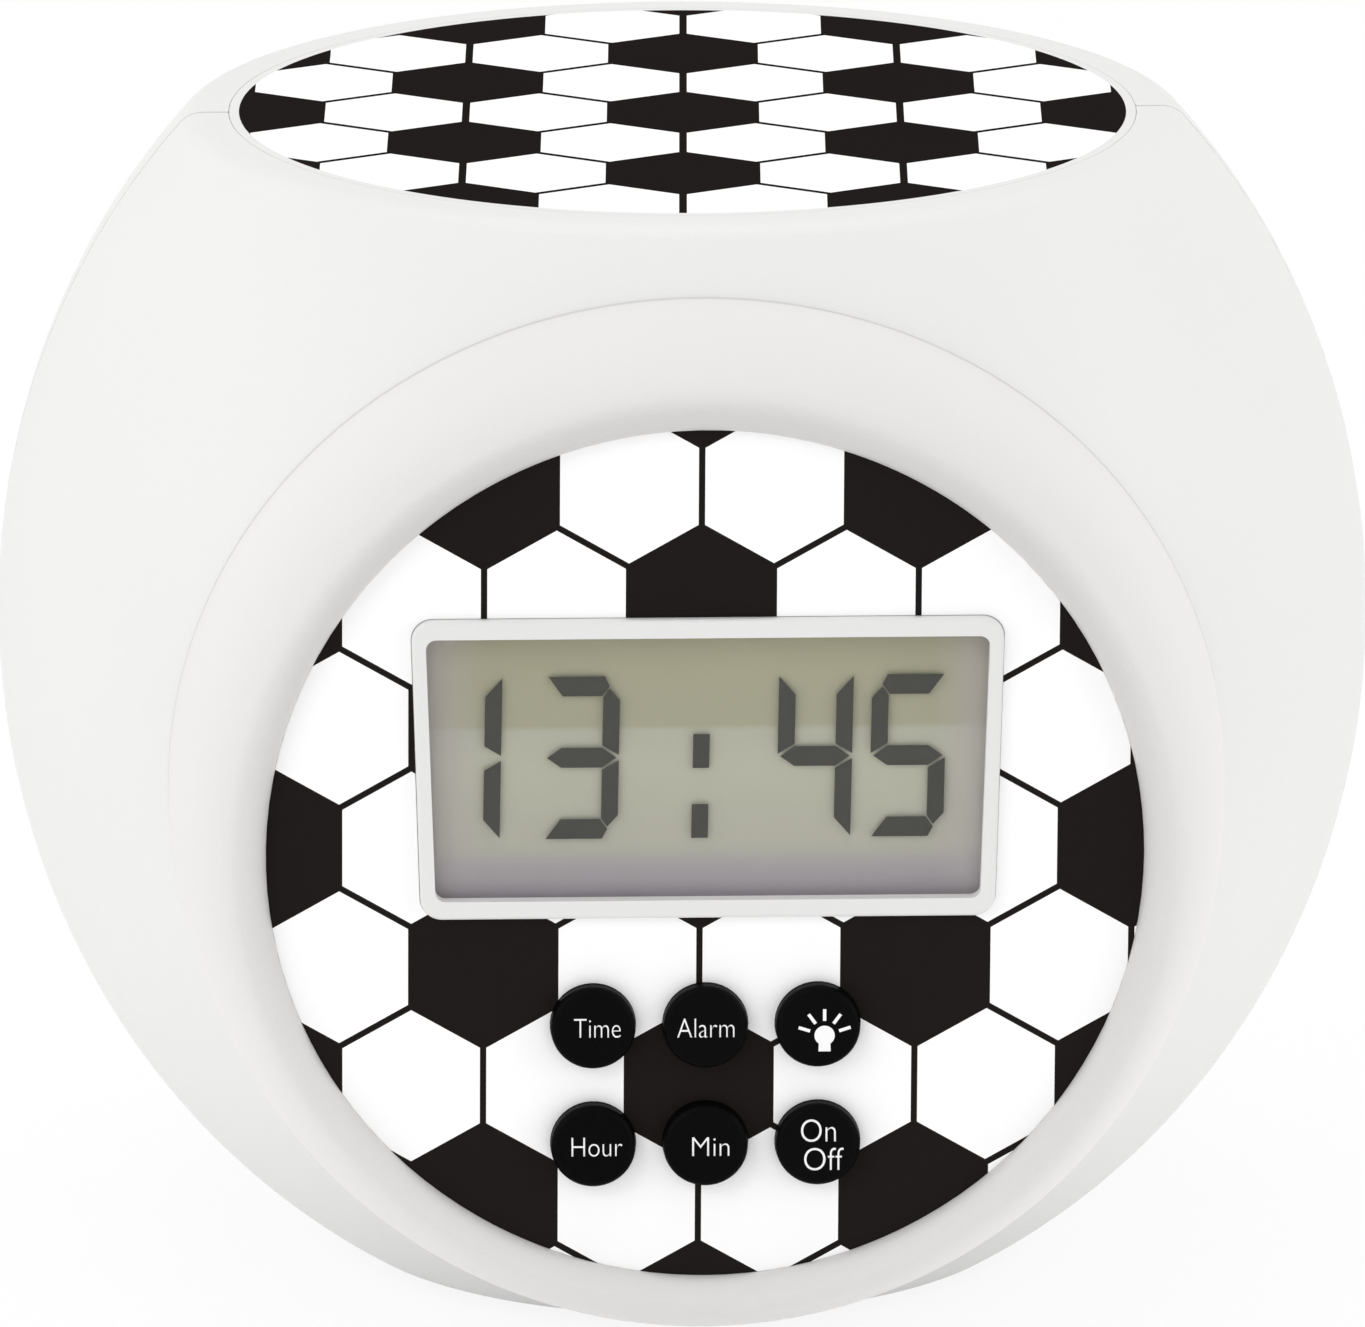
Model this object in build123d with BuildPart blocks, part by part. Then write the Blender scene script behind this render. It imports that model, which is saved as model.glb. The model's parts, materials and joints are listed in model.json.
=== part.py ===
"""Projection alarm clock: a ball-shaped case with a round dial, six keys and a flat snooze plate.

Millimetres. +Z is up, the dial faces -Y, and +X is to the right of someone who reads it. The
origin is under the middle of the clock, on the surface that its feet stand on. Most places are
given from the centre of the ball: forward is towards the dial, height is upwards.
"""
from build123d import *
from math import cos, radians, sin, sqrt, tan
import os

# --- the ball -----------------------------------------------------------------------------
BALL_R = 56.0            # widest level section
BALL_H = 60.0            # upright half axis; the ball is a little taller than it is wide
SKIN_STEPS = 12          # stretches of the curve that follows the ball's section
TOP_LAND = 3.2           # width of the flat top, round the opening of the snooze key
BASE_R = 27.95           # flat base
WALL = 2.2
FLOOR = 3.2              # thickness of the flat base
SHOULDER_ROUND = 2.5     # rounding between the flat top and the ball
PARTING_GROOVE = 0.3     # width and depth of the fine line between the two shells
FOOT_STAND = 0.8         # how far the rubber feet stand out of the base
FOOT_SINK = 0.5          # how far they sit in it
FOOT_R = 2.4
FOOT_X = 9.5
FOOT_Y = 20.2

# --- fits ---------------------------------------------------------------------------------
THREAD_GAP = 0.05        # round a screw in its own hole
PASS_GAP = 0.3           # round a screw that passes through
SLIDE_GAP = 0.1          # round a part that slides or turns
SEAT_GAP = 0.05          # between two faces that are glued or pressed together
REST_GAP = 0.2           # between a moving part and the stop that it comes to

# --- face ring, on a level axis a little below the centre ---------------------------------
RING_DROP = 4.7
RING_ROOT_R = 42.2       # where the ring meets the ball
RING_ROOT = 34.0         # forward place of its widest section
RING_CREST_R = 36.4
RING_CREST = 59.5        # forward place of the crest
RING_WALL = 2.0
RING_ROLL = 1.5          # height of the rolled inner edge, above the dial
DIAL_R = 34.5            # inner edge of the ring
SKIRT_DEPTH = 4.3        # ring's inner wall, behind the dial's face
LEDGE_R = 30.6           # inner edge of the ledge that the dial plate sits on
LEDGE = 2.0
FACE_OPENING_R = 36.0    # round opening of the ball behind the ring

# --- dial plate, sticker and display ------------------------------------------------------
LABEL = 0.3              # thickness of both stickers
PLATE = 2.0
PLATE_GAP = 0.2          # between the dial plate and the ring
LCD_SHIFT = 0.2          # middle of the display, to the right of the dial's axis
LCD_UP = 7.2             # and above it
BEZEL_W = 46.5           # frame of the display, at its top edge
BEZEL_H = 24.3
BEZEL_TAPER = 0.7        # how much narrower each side is at the bottom
BEZEL_CORNER = 1.7
BEZEL_PROUD = 0.7        # frame above the sticker
BEZEL_FLANGE = 0.7       # frame under the sticker, beyond its visible edge
BEZEL_SIDE = 1.15        # visible width of the frame, at each side
BEZEL_END = 1.5          # and above and below the window
WINDOW_CORNER = 0.8
BEZEL_LIP = 1.2          # front lip of the frame
PANEL_SIDE = 0.55        # how far the display reaches under the frame, at each side
PANEL_END = 0.7          # and above and below the window
PANEL = 1.8
COVER = 0.5              # clear cover in front of the panel
LIGHT_EDGE = 1.15        # from the display's side to the backlight and the zebra strips
ZEBRA = 1.6
ZEBRA_ROOM = 2.25        # height that a zebra strip takes from the backlight

# --- keys ---------------------------------------------------------------------------------
KEY_R = 3.35
KEY_PROUD = 1.4
KEY_ROUND = 0.6
KEY_PITCH_X = 8.85
KEY_PITCH_Z = 9.7
KEY_ROW = 13.75          # upper row, below the dial's axis
KEY_HOLE_GAP = 0.2
KEY_FLANGE_R = 4.1
KEY_FLANGE = 0.9
KEY_TRAVEL = 0.8
STEM_R = 1.7
SWITCH = 6.0             # side of a tact switch
SWITCH_T = 3.5
STEM_ENTRY = 0.6         # how far a stem stands in its switch at rest

# --- main board ---------------------------------------------------------------------------
BOARD_R = 29.0
BOARD = 1.6
BOARD_SPACE = 7.1        # from the back of the dial plate to the board
BOARD_POST_R = 2.2
UPPER_POST_X = 14.0
UPPER_POST_GAP = 0.55    # above the display's frame
LOWER_POST_X = 23.0
LOWER_POST_Z = -12.5
CHIP_R = 5.0
CHIP = 1.5
CHIP_ROUND = 1.2
CHIP_UP = 3.0
CRYSTAL_R = 1.05
CRYSTAL_L = 6.0
CRYSTAL_SPOT = (-15.0, -4.0)

# --- screws -------------------------------------------------------------------------------
SHAFT_R = 0.95
HEAD_R = 1.9
HEAD = 1.2
BIG_SHAFT_R = 1.25
BIG_HEAD_R = 2.4
BIG_HEAD = 1.6
PLATE_SCREW = 5.5        # lengths under the head
BOARD_SCREW = 6.0
FRAME_SCREW = 5.5
TRAY_SCREW = 3.6
DOOR_SCREW = 9.0
RING_SCREW = 15.0
SHELL_SCREW = 14.0
TUBE_SCREW = 6.0
LED_SCREW = 5.0

# --- snooze key on the flat top -----------------------------------------------------------
SNOOZE_R = 36.5
TOP_LABEL_R = 36.05
SNOOZE_GAP = 0.4         # round the key
SNOOZE_RIM = 1.7         # flange that keeps the key under the shells
SNOOZE_RIM_T = 1.2
SNOOZE_TOP = 2.0
SNOOZE_TRAVEL = 1.5
SNOOZE_POCKET_R = 34.2
SHELF_R = 28.0           # inner edge of the shelf round the top opening
SHELF = 2.0
FRAME_R = 34.0
FRAME = 2.0
FRAME_SCREW_R = 31.0
GUIDE_R = 2.0
GUIDE_WALL = 1.4
GUIDE_LENGTH = 6.0
GUIDE_CIRCLE = 20.0
SPRING_WIRE = 0.3        # radius of the spring wire
SPRING_TURNS = 4
SNOOZE_BOARD_W = 22.0
SNOOZE_BOARD_D = 16.0
SNOOZE_BOARD_EAR = 8.8    # its screws, from the middle

# --- battery bay --------------------------------------------------------------------------
CELL_R = 5.2             # AAA
CELL_L = 43.6
NUB_R = 1.9
NUB = 0.9
CELLS = 3
CELL_PITCH = 10.7
BAY_L = 49.7
BAY_W = 32.2
BAY_WALL = 1.5
BAY_CORNER = 5.0
BAY_RISE = 2.3           # inside floor of the bay, above the base's inside face
BAY_FLANGE_GAP = 0.55     # from the edge of the flat base to the bay's flange
MOUTH_L = 45.0
MOUTH_W = 32.0
MOUTH_CORNER = 6.0
DOOR_LIP = 1.0           # door beyond the mouth
DOOR = 1.8
DOOR_GAP = 0.2
LOBE_R = 3.4
LOBE_Y = 19.5
LOBE_BOSS_R = 2.6
LOBE_BOSS = 9.0
DOOR_RECESS = 1.3        # for the heads of the door's screws
TRAY_SCREW_X = 15.5
TRAY_SCREW_Y = 20.6
CONTACT = 0.3
CONTACT_SIDE = 7.0
CONTACT_WIRE = 0.35      # radius of the wire
CONTACT_COIL_R = 2.45
BUZZER_R = 10.0
BUZZER = 3.2

# --- projector, looking up and back -------------------------------------------------------
BEAM_TILT = 25.0
BEAM_CLEAR = 0.35        # from the projector's collar up to the snooze key's frame
TUBE_R = 9.5
TUBE_BORE = 8.0
TUBE_STOP_BORE = 7.0
TUBE_OUT = 5.5           # end of the tube, outside the ball
TUBE_IN = 38.0           # length inside it
COLLAR_R = 12.4
COLLAR_OUT = 1.2
COLLAR_IN = 9.0
COLLAR_GAP = 0.2
TUBE_FLANGE = 2.0
TUBE_SCREW_R = 11.05
FOCUS_R = 12.0
FOCUS_OUT = 7.0
FOCUS_LIP = 1.1
FOCUS_BORE = 7.4
FOCUS_GROOVES = 24
GROOVE_R = 0.8
CARRIER_L = 6.0
CARRIER_BORE = 6.3
CARRIER_STEP = 2.1
LENS_R = 6.9
LENS_EDGE = 1.4
LENS_BULGE = 1.1
FOCUS_TRAVEL = 2.4       # of the lens, outwards from the place it is drawn in
SLIDE_PLACE = 22.0       # picture slide, inside the ball's skin
SLIDE_T = 0.3
SLIDE_RING = 1.5
SLIDE_RING_BORE = 6.4
STOP_LENGTH = 4.7        # narrow bore between the slide and the condenser
CONDENSER_T = 2.0
CONDENSER_BULGE = 2.4
LED_R = 2.5
LED_L = 5.0
LED_ROUND = 2.25
LED_BOARD = 1.6
LED_EAR_X = 11.2
LED_EAR_R = 2.2

# --- shells -------------------------------------------------------------------------------
SHELL_SCREW_HEIGHTS = [15.0, -26.0]
SHELL_BOSS_R = 3.4
SHELL_BOSS = 12.0
SHELL_BOSS_IN = 0.6      # how far a boss runs into the wall beside it
WELL_DEPTH = 7.0         # seat of a shell screw's head, behind the parting plane
RING_BOSS_R = 2.8
RING_BOSS_CIRCLE = 38.6
RING_BOSS_END = 51.0
SOUND_HOLE_R = 0.9
SOUND_RING = 4.2
SOUND_DROP = 22.0

# --- leads --------------------------------------------------------------------------------
LEAD_R = 0.5
LEAD_PAIR = 1.4          # from the pair's middle to each lead
LEAD_RUN = 12.0          # straight run in front of the main board


def skin_reach(height, inset=0.0):
    """Level radius of the ball's skin, or of a skin inside it, at a height above its centre."""
    return (BALL_R - inset) * sqrt(1 - (height / (BALL_H - inset)) ** 2)


# --- places that follow -------------------------------------------------------------------
TOP_HEIGHT = BALL_H * sqrt(1 - ((SNOOZE_R + SNOOZE_GAP + TOP_LAND) / BALL_R) ** 2)
TOP_PLATE = TOP_HEIGHT - LABEL           # top of the snooze key, under its sticker
LIP_UNDER = TOP_HEIGHT - WALL
RIM_TOP = LIP_UNDER - REST_GAP
RIM_BOTTOM = RIM_TOP - SNOOZE_RIM_T
SHELF_TOP = RIM_BOTTOM - SNOOZE_TRAVEL - REST_GAP
SHELF_BOTTOM = SHELF_TOP - SHELF
POCKET_TOP = TOP_PLATE - SNOOZE_TOP
FRAME_BOTTOM = SHELF_BOTTOM - FRAME

BEAM = Vector(0, cos(radians(BEAM_TILT)), sin(radians(BEAM_TILT)))
BEAM_UP = FRAME_BOTTOM - BEAM_CLEAR - COLLAR_R * BEAM.Y + COLLAR_IN * BEAM.Z
BEAM_BACK = skin_reach(BEAM_UP)
REAR_REACH = BEAM_BACK + FOCUS_OUT * BEAM.Y + FOCUS_R * BEAM.Z
BASE_DEPTH = BALL_H * sqrt(1 - (BASE_R / BALL_R) ** 2)
BALL_Y = (RING_CREST - REAR_REACH) / 2
BALL_Z = BASE_DEPTH + FOOT_STAND

WINDOW_W = BEZEL_W - 2 * BEZEL_SIDE
WINDOW_H = BEZEL_H - 2 * BEZEL_END
PANEL_W = WINDOW_W + 2 * PANEL_SIDE
PANEL_H = WINDOW_H + 2 * PANEL_END
LIGHT_W = PANEL_W - 2 * LIGHT_EDGE
LIGHT_H = PANEL_H - 2 * ZEBRA_ROOM
DIAL = RING_CREST - RING_ROLL            # forward place of the sticker's face
PLATE_FRONT = DIAL - LABEL
PLATE_BACK = PLATE_FRONT - PLATE
BOARD_FRONT = PLATE_BACK - BOARD_SPACE
BEZEL_FRONT = DIAL + BEZEL_PROUD
COVER_FRONT = BEZEL_FRONT - BEZEL_LIP
PANEL_FRONT = COVER_FRONT - COVER
PANEL_BACK = PANEL_FRONT - PANEL
KEY_FLANGE_FRONT = PLATE_BACK - SEAT_GAP
SWITCH_FRONT = BOARD_FRONT + SWITCH_T
STEM_END = SWITCH_FRONT - STEM_ENTRY
UPPER_POST_Z = LCD_UP + BEZEL_H / 2 + BEZEL_FLANGE + UPPER_POST_GAP + BOARD_POST_R
BOARD_POSTS = [
    (-UPPER_POST_X, UPPER_POST_Z),
    (UPPER_POST_X, UPPER_POST_Z),
    (-LOWER_POST_X, LOWER_POST_Z),
    (LOWER_POST_X, LOWER_POST_Z),
]

FLOOR_TOP = FLOOR - BASE_DEPTH           # inside face of the base
BAY_FLOOR = FLOOR_TOP + BAY_RISE
CELL_HEIGHT = BAY_FLOOR + CELL_R
BAY_TOP = CELL_HEIGHT + CELL_R + SLIDE_GAP + BAY_WALL
CELL_SPOTS = [(row - (CELLS - 1) / 2) * CELL_PITCH for row in range(CELLS)]

KEY_SPOTS = {
    "button_time": (-KEY_PITCH_X, -KEY_ROW),
    "button_alarm": (0.0, -KEY_ROW),
    "button_light": (KEY_PITCH_X, -KEY_ROW),
    "button_hour": (-KEY_PITCH_X, -KEY_ROW - KEY_PITCH_Z),
    "button_minute": (0.0, -KEY_ROW - KEY_PITCH_Z),
    "button_on_off": (KEY_PITCH_X, -KEY_ROW - KEY_PITCH_Z),
}
PLATE_SCREW_R = (LEDGE_R + DIAL_R - PLATE_GAP) / 2
PLATE_SCREW_SPOTS = [
    (PLATE_SCREW_R * cos(radians(turn)), PLATE_SCREW_R * sin(radians(turn)))
    for turn in (20, 160, 200, 340)
]
RING_SPOTS = [
    (RING_BOSS_CIRCLE * cos(radians(turn)), RING_BOSS_CIRCLE * sin(radians(turn)))
    for turn in (45, 135, 225, 315)
]


SHELL_SPOTS = [
    (side * (skin_reach(height, WALL) + SHELL_BOSS_IN - SHELL_BOSS_R), height)
    for height in SHELL_SCREW_HEIGHTS
    for side in (-1, 1)
]


def skin_forward(x, height, inset=0.0):
    """Forward place of the skin, or of a skin inside it, at a point of the dial's side."""
    level_part = (x / (BALL_R - inset)) ** 2
    upright_part = (height / (BALL_H - inset)) ** 2
    return (BALL_R - inset) * sqrt(1 - level_part - upright_part)


# the heads of the ring's screws sit just clear of the wall beside the lowest two
head_reach = (RING_BOSS_CIRCLE + HEAD_R) * sin(radians(45))
RING_SEAT = skin_forward(head_reach, head_reach + RING_DROP, WALL) - REST_GAP


def place(x, forward, height):
    """A point, given from the centre of the ball."""
    return Vector(x, BALL_Y - forward, BALL_Z + height)


def upright(forward, height=0.0):
    """Upright plane in front of the ball's centre, seen from the front."""
    return Plane(origin=place(0, forward, height), x_dir=(1, 0, 0), z_dir=(0, -1, 0))


def dial(forward):
    """Upright plane whose middle is on the dial's axis."""
    return upright(forward, -RING_DROP)


def level(height):
    """Level plane at a height above the ball's centre."""
    return Plane(origin=place(0, 0, height), x_dir=(1, 0, 0), z_dir=(0, 0, 1))


def across_beam(distance):
    """Plane across the projector's beam, at a distance outside the ball's skin."""
    return Plane(
        origin=place(0, -BEAM_BACK, BEAM_UP) + BEAM * distance, x_dir=(1, 0, 0), z_dir=BEAM
    )


def rods(plane, spots, radius, length, mode=Mode.ADD):
    """Round rods or holes that stand on a plane."""
    with BuildSketch(plane) as rounds:
        with Locations(*spots):
            Circle(radius)
    extrude(rounds.sketch, amount=length, mode=mode)


def slab(plane, size, corner, length, middle=(0, 0), mode=Mode.ADD):
    """A rectangular block or pocket with round corners."""
    with BuildSketch(plane) as outline:
        with Locations(middle):
            RectangleRounded(size[0], size[1], corner)
    extrude(outline.sketch, amount=length, mode=mode)


def framed(plane, width, height, taper, corner, length, mode=Mode.ADD):
    """A block round the display's middle that is narrower at the bottom than at the top."""
    top = width / 2
    bottom = width / 2 - taper
    with BuildSketch(plane) as outline:
        with Locations((LCD_SHIFT, LCD_UP)):
            Polygon(
                (-top, height / 2), (top, height / 2), (bottom, -height / 2), (-bottom, -height / 2)
            )
        fillet(outline.vertices(), radius=corner)
    extrude(outline.sketch, amount=length, mode=mode)


def screws(seat, spots, length, shaft_r=SHAFT_R, head_r=HEAD_R, head=HEAD):
    """Cross-head screws: the heads stand on the seat plane, the shafts go down from it."""
    rods(seat, spots, head_r, head)
    rods(seat, spots, shaft_r, -length)
    with BuildSketch(seat.offset(head)) as cross:
        with Locations(*spots):
            Rectangle(1.2 * head_r, 0.25 * head_r)
            Rectangle(0.25 * head_r, 1.2 * head_r)
    extrude(cross.sketch, amount=-head / 2, mode=Mode.SUBTRACT)


def coil(start, direction, height, radius, wire, turns):
    """A helical spring, from a point along a direction."""
    with BuildLine() as path:
        Helix(pitch=height / turns, height=height, radius=radius, center=start, direction=direction)
    with BuildSketch(Plane(path.line @ 0, z_dir=path.line % 0)) as section:
        Circle(wire)
    sweep(section.sketch, path=path.line, is_frenet=True)


def lead(points):
    """An insulated wire: straight runs, joined by arcs as large as the runs allow."""
    arcs = []
    for before, corner, after in zip(points, points[1:], points[2:]):
        run_in = corner - before
        run_out = after - corner
        turn = radians(run_in.get_angle(run_out))
        arcs.append(0.45 * min(run_in.length, run_out.length) / tan(turn / 2))
    print("lead arcs (mm):", [round(radius, 1) for radius in arcs])
    with BuildLine() as path:
        FilletPolyline(*points, radius=arcs)
    with BuildSketch(Plane(path.line @ 0, z_dir=path.line % 0)) as section:
        Circle(LEAD_R)
    sweep(section.sketch, path=path.line)


def ball_section(inset, bottom, top):
    """Half of the ball's upright section between two levels, on the side where x is positive."""
    heights = [bottom + (top - bottom) * step / SKIN_STEPS for step in range(SKIN_STEPS + 1)]
    skin = [(skin_reach(height, inset), height) for height in heights]
    with BuildSketch(Plane.XY) as section:
        with BuildLine():
            Spline(*skin)
            Polyline(skin[-1], (0, top), (0, bottom), skin[0])
        make_face()
    return section.sketch


def parting_groove():
    """The fine line that runs round the ball between its shells, half of it in each shell."""
    inside = ball_section(PARTING_GROOVE, PARTING_GROOVE - BASE_DEPTH, TOP_HEIGHT - PARTING_GROOVE)
    with BuildSketch(upright(0)) as around:
        Rectangle(2 * BALL_H, 2 * BALL_H, align=(Align.MIN, Align.CENTER))
        add(inside, mode=Mode.SUBTRACT)
        mirror(about=Plane.YZ)
    extrude(around.sketch, amount=PARTING_GROOVE / 2, both=True, mode=Mode.SUBTRACT)


def lens(back, front, radius, back_bulge, front_bulge):
    """A round lens on the projector's beam, with its edge between two places."""
    with BuildSketch(BEAM_SECTION) as half:
        with BuildLine():
            for place_on_beam, bulge in ((back, -back_bulge), (front, front_bulge)):
                rim = (radius, place_on_beam)
                other_rim = (-radius, place_on_beam)
                if bulge:
                    ThreePointArc(rim, (0, place_on_beam + bulge), other_rim)
                else:
                    Line(rim, other_rim)
            Line((radius, back), (radius, front))
            Line((-radius, back), (-radius, front))
        make_face()
        with Locations((0, back - back_bulge)):
            Rectangle(
                radius, BALL_R, align=(Align.MIN, Align.MIN), mode=Mode.INTERSECT
            )
    revolve(half.sketch, axis=BEAM_AXIS)


BALL_AXIS = Axis(place(0, 0, 0), (0, 0, 1))
DIAL_AXIS = Axis(place(0, 0, -RING_DROP), (0, -1, 0))
BEAM_AXIS = Axis(place(0, -BEAM_BACK, BEAM_UP), BEAM)
RING_SECTION = Plane(origin=place(0, 0, -RING_DROP), x_dir=(1, 0, 0), z_dir=(0, 0, -1))
BEAM_SECTION = Plane(
    origin=place(0, -BEAM_BACK, BEAM_UP), x_dir=(1, 0, 0), z_dir=Vector(1, 0, 0).cross(BEAM)
)
os.makedirs("parts", exist_ok=True)


def finish(piece, name):
    """Name a finished piece and write it."""
    piece.part.label = name
    export_step(piece.part, f"parts/{name}.step")


# --- envelopes that other pieces are cut to ----------------------------------------------
with BuildPart() as ball_envelope:
    with BuildSketch(upright(0)) as ball_outline:
        add(ball_section(0, -BASE_DEPTH, TOP_HEIGHT))
        shoulder = ball_outline.vertices().group_by(Axis.Z)[-1].sort_by(Axis.X)[-1]
        fillet(shoulder, radius=SHOULDER_ROUND)
    revolve(axis=BALL_AXIS)

with BuildPart() as ball_seat:
    with BuildSketch(upright(0)):
        add(ball_section(-SEAT_GAP, -BASE_DEPTH, TOP_HEIGHT))
    revolve(axis=BALL_AXIS)

with BuildPart() as ring_envelope:
    with BuildSketch(RING_SECTION):
        with Locations((RING_CREST_R, RING_ROOT)):
            Ellipse(RING_ROOT_R - RING_CREST_R, RING_CREST - RING_ROOT)
        Rectangle(RING_ROOT_R, RING_CREST, align=(Align.MIN, Align.MIN), mode=Mode.INTERSECT)
        Rectangle(RING_CREST_R, RING_CREST, align=(Align.MIN, Align.MIN))
    revolve(axis=DIAL_AXIS)

# --- the hollow ball, whole, before it is parted ------------------------------------------
with BuildPart() as hollow_ball:
    add(ball_envelope.part)
    with BuildSketch(upright(0)):
        add(ball_section(WALL, FLOOR_TOP, LIP_UNDER))
        with Locations((SHELF_R, SHELF_BOTTOM)):
            Rectangle(BALL_R, SHELF, align=(Align.MIN, Align.MIN), mode=Mode.SUBTRACT)
        with Locations((0, RIM_BOTTOM)):
            Rectangle(SNOOZE_R + SNOOZE_GAP, BALL_H, align=(Align.MIN, Align.MIN))
    revolve(axis=BALL_AXIS, mode=Mode.SUBTRACT)
    # battery mouth, the door's recess and its two lobes
    slab(level(-BASE_DEPTH), (MOUTH_L, MOUTH_W), MOUTH_CORNER, FLOOR, mode=Mode.SUBTRACT)
    slab(
        level(-BASE_DEPTH),
        (MOUTH_L + 2 * DOOR_LIP + 2 * DOOR_GAP, MOUTH_W + 2 * DOOR_LIP + 2 * DOOR_GAP),
        MOUTH_CORNER + DOOR_LIP + DOOR_GAP,
        DOOR + SEAT_GAP,
        mode=Mode.SUBTRACT,
    )
    lobes = [(0, -LOBE_Y), (0, LOBE_Y)]
    rods(level(-BASE_DEPTH), lobes, LOBE_R + DOOR_GAP, DOOR + SEAT_GAP, mode=Mode.SUBTRACT)
    rods(level(-BASE_DEPTH), lobes, SHAFT_R + PASS_GAP, FLOOR, mode=Mode.SUBTRACT)
    # seats of the feet, and pilot holes of the battery tray's screws
    feet_spots = [(x, y) for x in (-FOOT_X, FOOT_X) for y in (-FOOT_Y, FOOT_Y)]
    rods(level(-BASE_DEPTH), feet_spots, FOOT_R + SEAT_GAP, FOOT_SINK, mode=Mode.SUBTRACT)
    tray_spots = [
        (x, y) for x in (-TRAY_SCREW_X, TRAY_SCREW_X) for y in (-TRAY_SCREW_Y, TRAY_SCREW_Y)
    ]
    tray_pilot = TRAY_SCREW - BAY_WALL + REST_GAP
    rods(level(FLOOR_TOP), tray_spots, SHAFT_R + THREAD_GAP, -tray_pilot, mode=Mode.SUBTRACT)
    # holes of the snooze frame's screws, through the shelf
    frame_spots = [
        (FRAME_SCREW_R * cos(radians(turn)), FRAME_SCREW_R * sin(radians(turn)))
        for turn in (45, 135, 225, 315)
    ]
    rods(level(SHELF_TOP), frame_spots, SHAFT_R + PASS_GAP, -SHELF, mode=Mode.SUBTRACT)

# --- front shell --------------------------------------------------------------------------
with BuildPart() as front_shell:
    add(hollow_ball.part)
    split(bisect_by=upright(0), keep=Keep.TOP)
    rods(upright(0), SHELL_SPOTS, SHELL_BOSS_R, SHELL_BOSS)
    rods(dial(RING_SEAT), RING_SPOTS, SHELL_BOSS_R, RING_CREST - RING_SEAT)
    add(ball_envelope.part, mode=Mode.INTERSECT)
    rods(dial(RING_SEAT - FLOOR), [(0, 0)], FACE_OPENING_R, BALL_R, mode=Mode.SUBTRACT)
    shell_pilot = SHELL_SCREW - WELL_DEPTH + REST_GAP
    rods(upright(0), SHELL_SPOTS, BIG_SHAFT_R + THREAD_GAP, shell_pilot, mode=Mode.SUBTRACT)
    rods(dial(RING_SEAT), RING_SPOTS, SHAFT_R + PASS_GAP, BALL_R, mode=Mode.SUBTRACT)
    parting_groove()
finish(front_shell, "front_shell")

# --- rear shell ---------------------------------------------------------------------------
with BuildPart() as rear_shell:
    add(hollow_ball.part)
    split(bisect_by=upright(0), keep=Keep.BOTTOM)
    rods(upright(0), SHELL_SPOTS, SHELL_BOSS_R, -BALL_R)
    add(ball_envelope.part, mode=Mode.INTERSECT)
    rods(across_beam(-COLLAR_IN), [(0, 0)], COLLAR_R, COLLAR_IN + COLLAR_OUT)
    rods(upright(0), SHELL_SPOTS, BIG_SHAFT_R + PASS_GAP, -BALL_R, mode=Mode.SUBTRACT)
    rods(upright(-WELL_DEPTH), SHELL_SPOTS, BIG_HEAD_R + PASS_GAP, -BALL_R, mode=Mode.SUBTRACT)
    rods(
        across_beam(-COLLAR_IN),
        [(0, 0)],
        TUBE_R + COLLAR_GAP,
        COLLAR_IN + COLLAR_OUT,
        mode=Mode.SUBTRACT,
    )
    tube_spots = [
        (TUBE_SCREW_R * cos(radians(turn)), TUBE_SCREW_R * sin(radians(turn)))
        for turn in (0, 120, 240)
    ]
    tube_pilot = TUBE_SCREW - TUBE_FLANGE + REST_GAP
    rods(
        across_beam(-COLLAR_IN), tube_spots, SHAFT_R + THREAD_GAP, tube_pilot, mode=Mode.SUBTRACT
    )
    with BuildSketch(upright(0, -SOUND_DROP)):
        Circle(SOUND_HOLE_R)
        with PolarLocations(SOUND_RING, 6):
            Circle(SOUND_HOLE_R)
    extrude(amount=-BALL_R, mode=Mode.SUBTRACT)
    parting_groove()
finish(rear_shell, "rear_shell")

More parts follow.
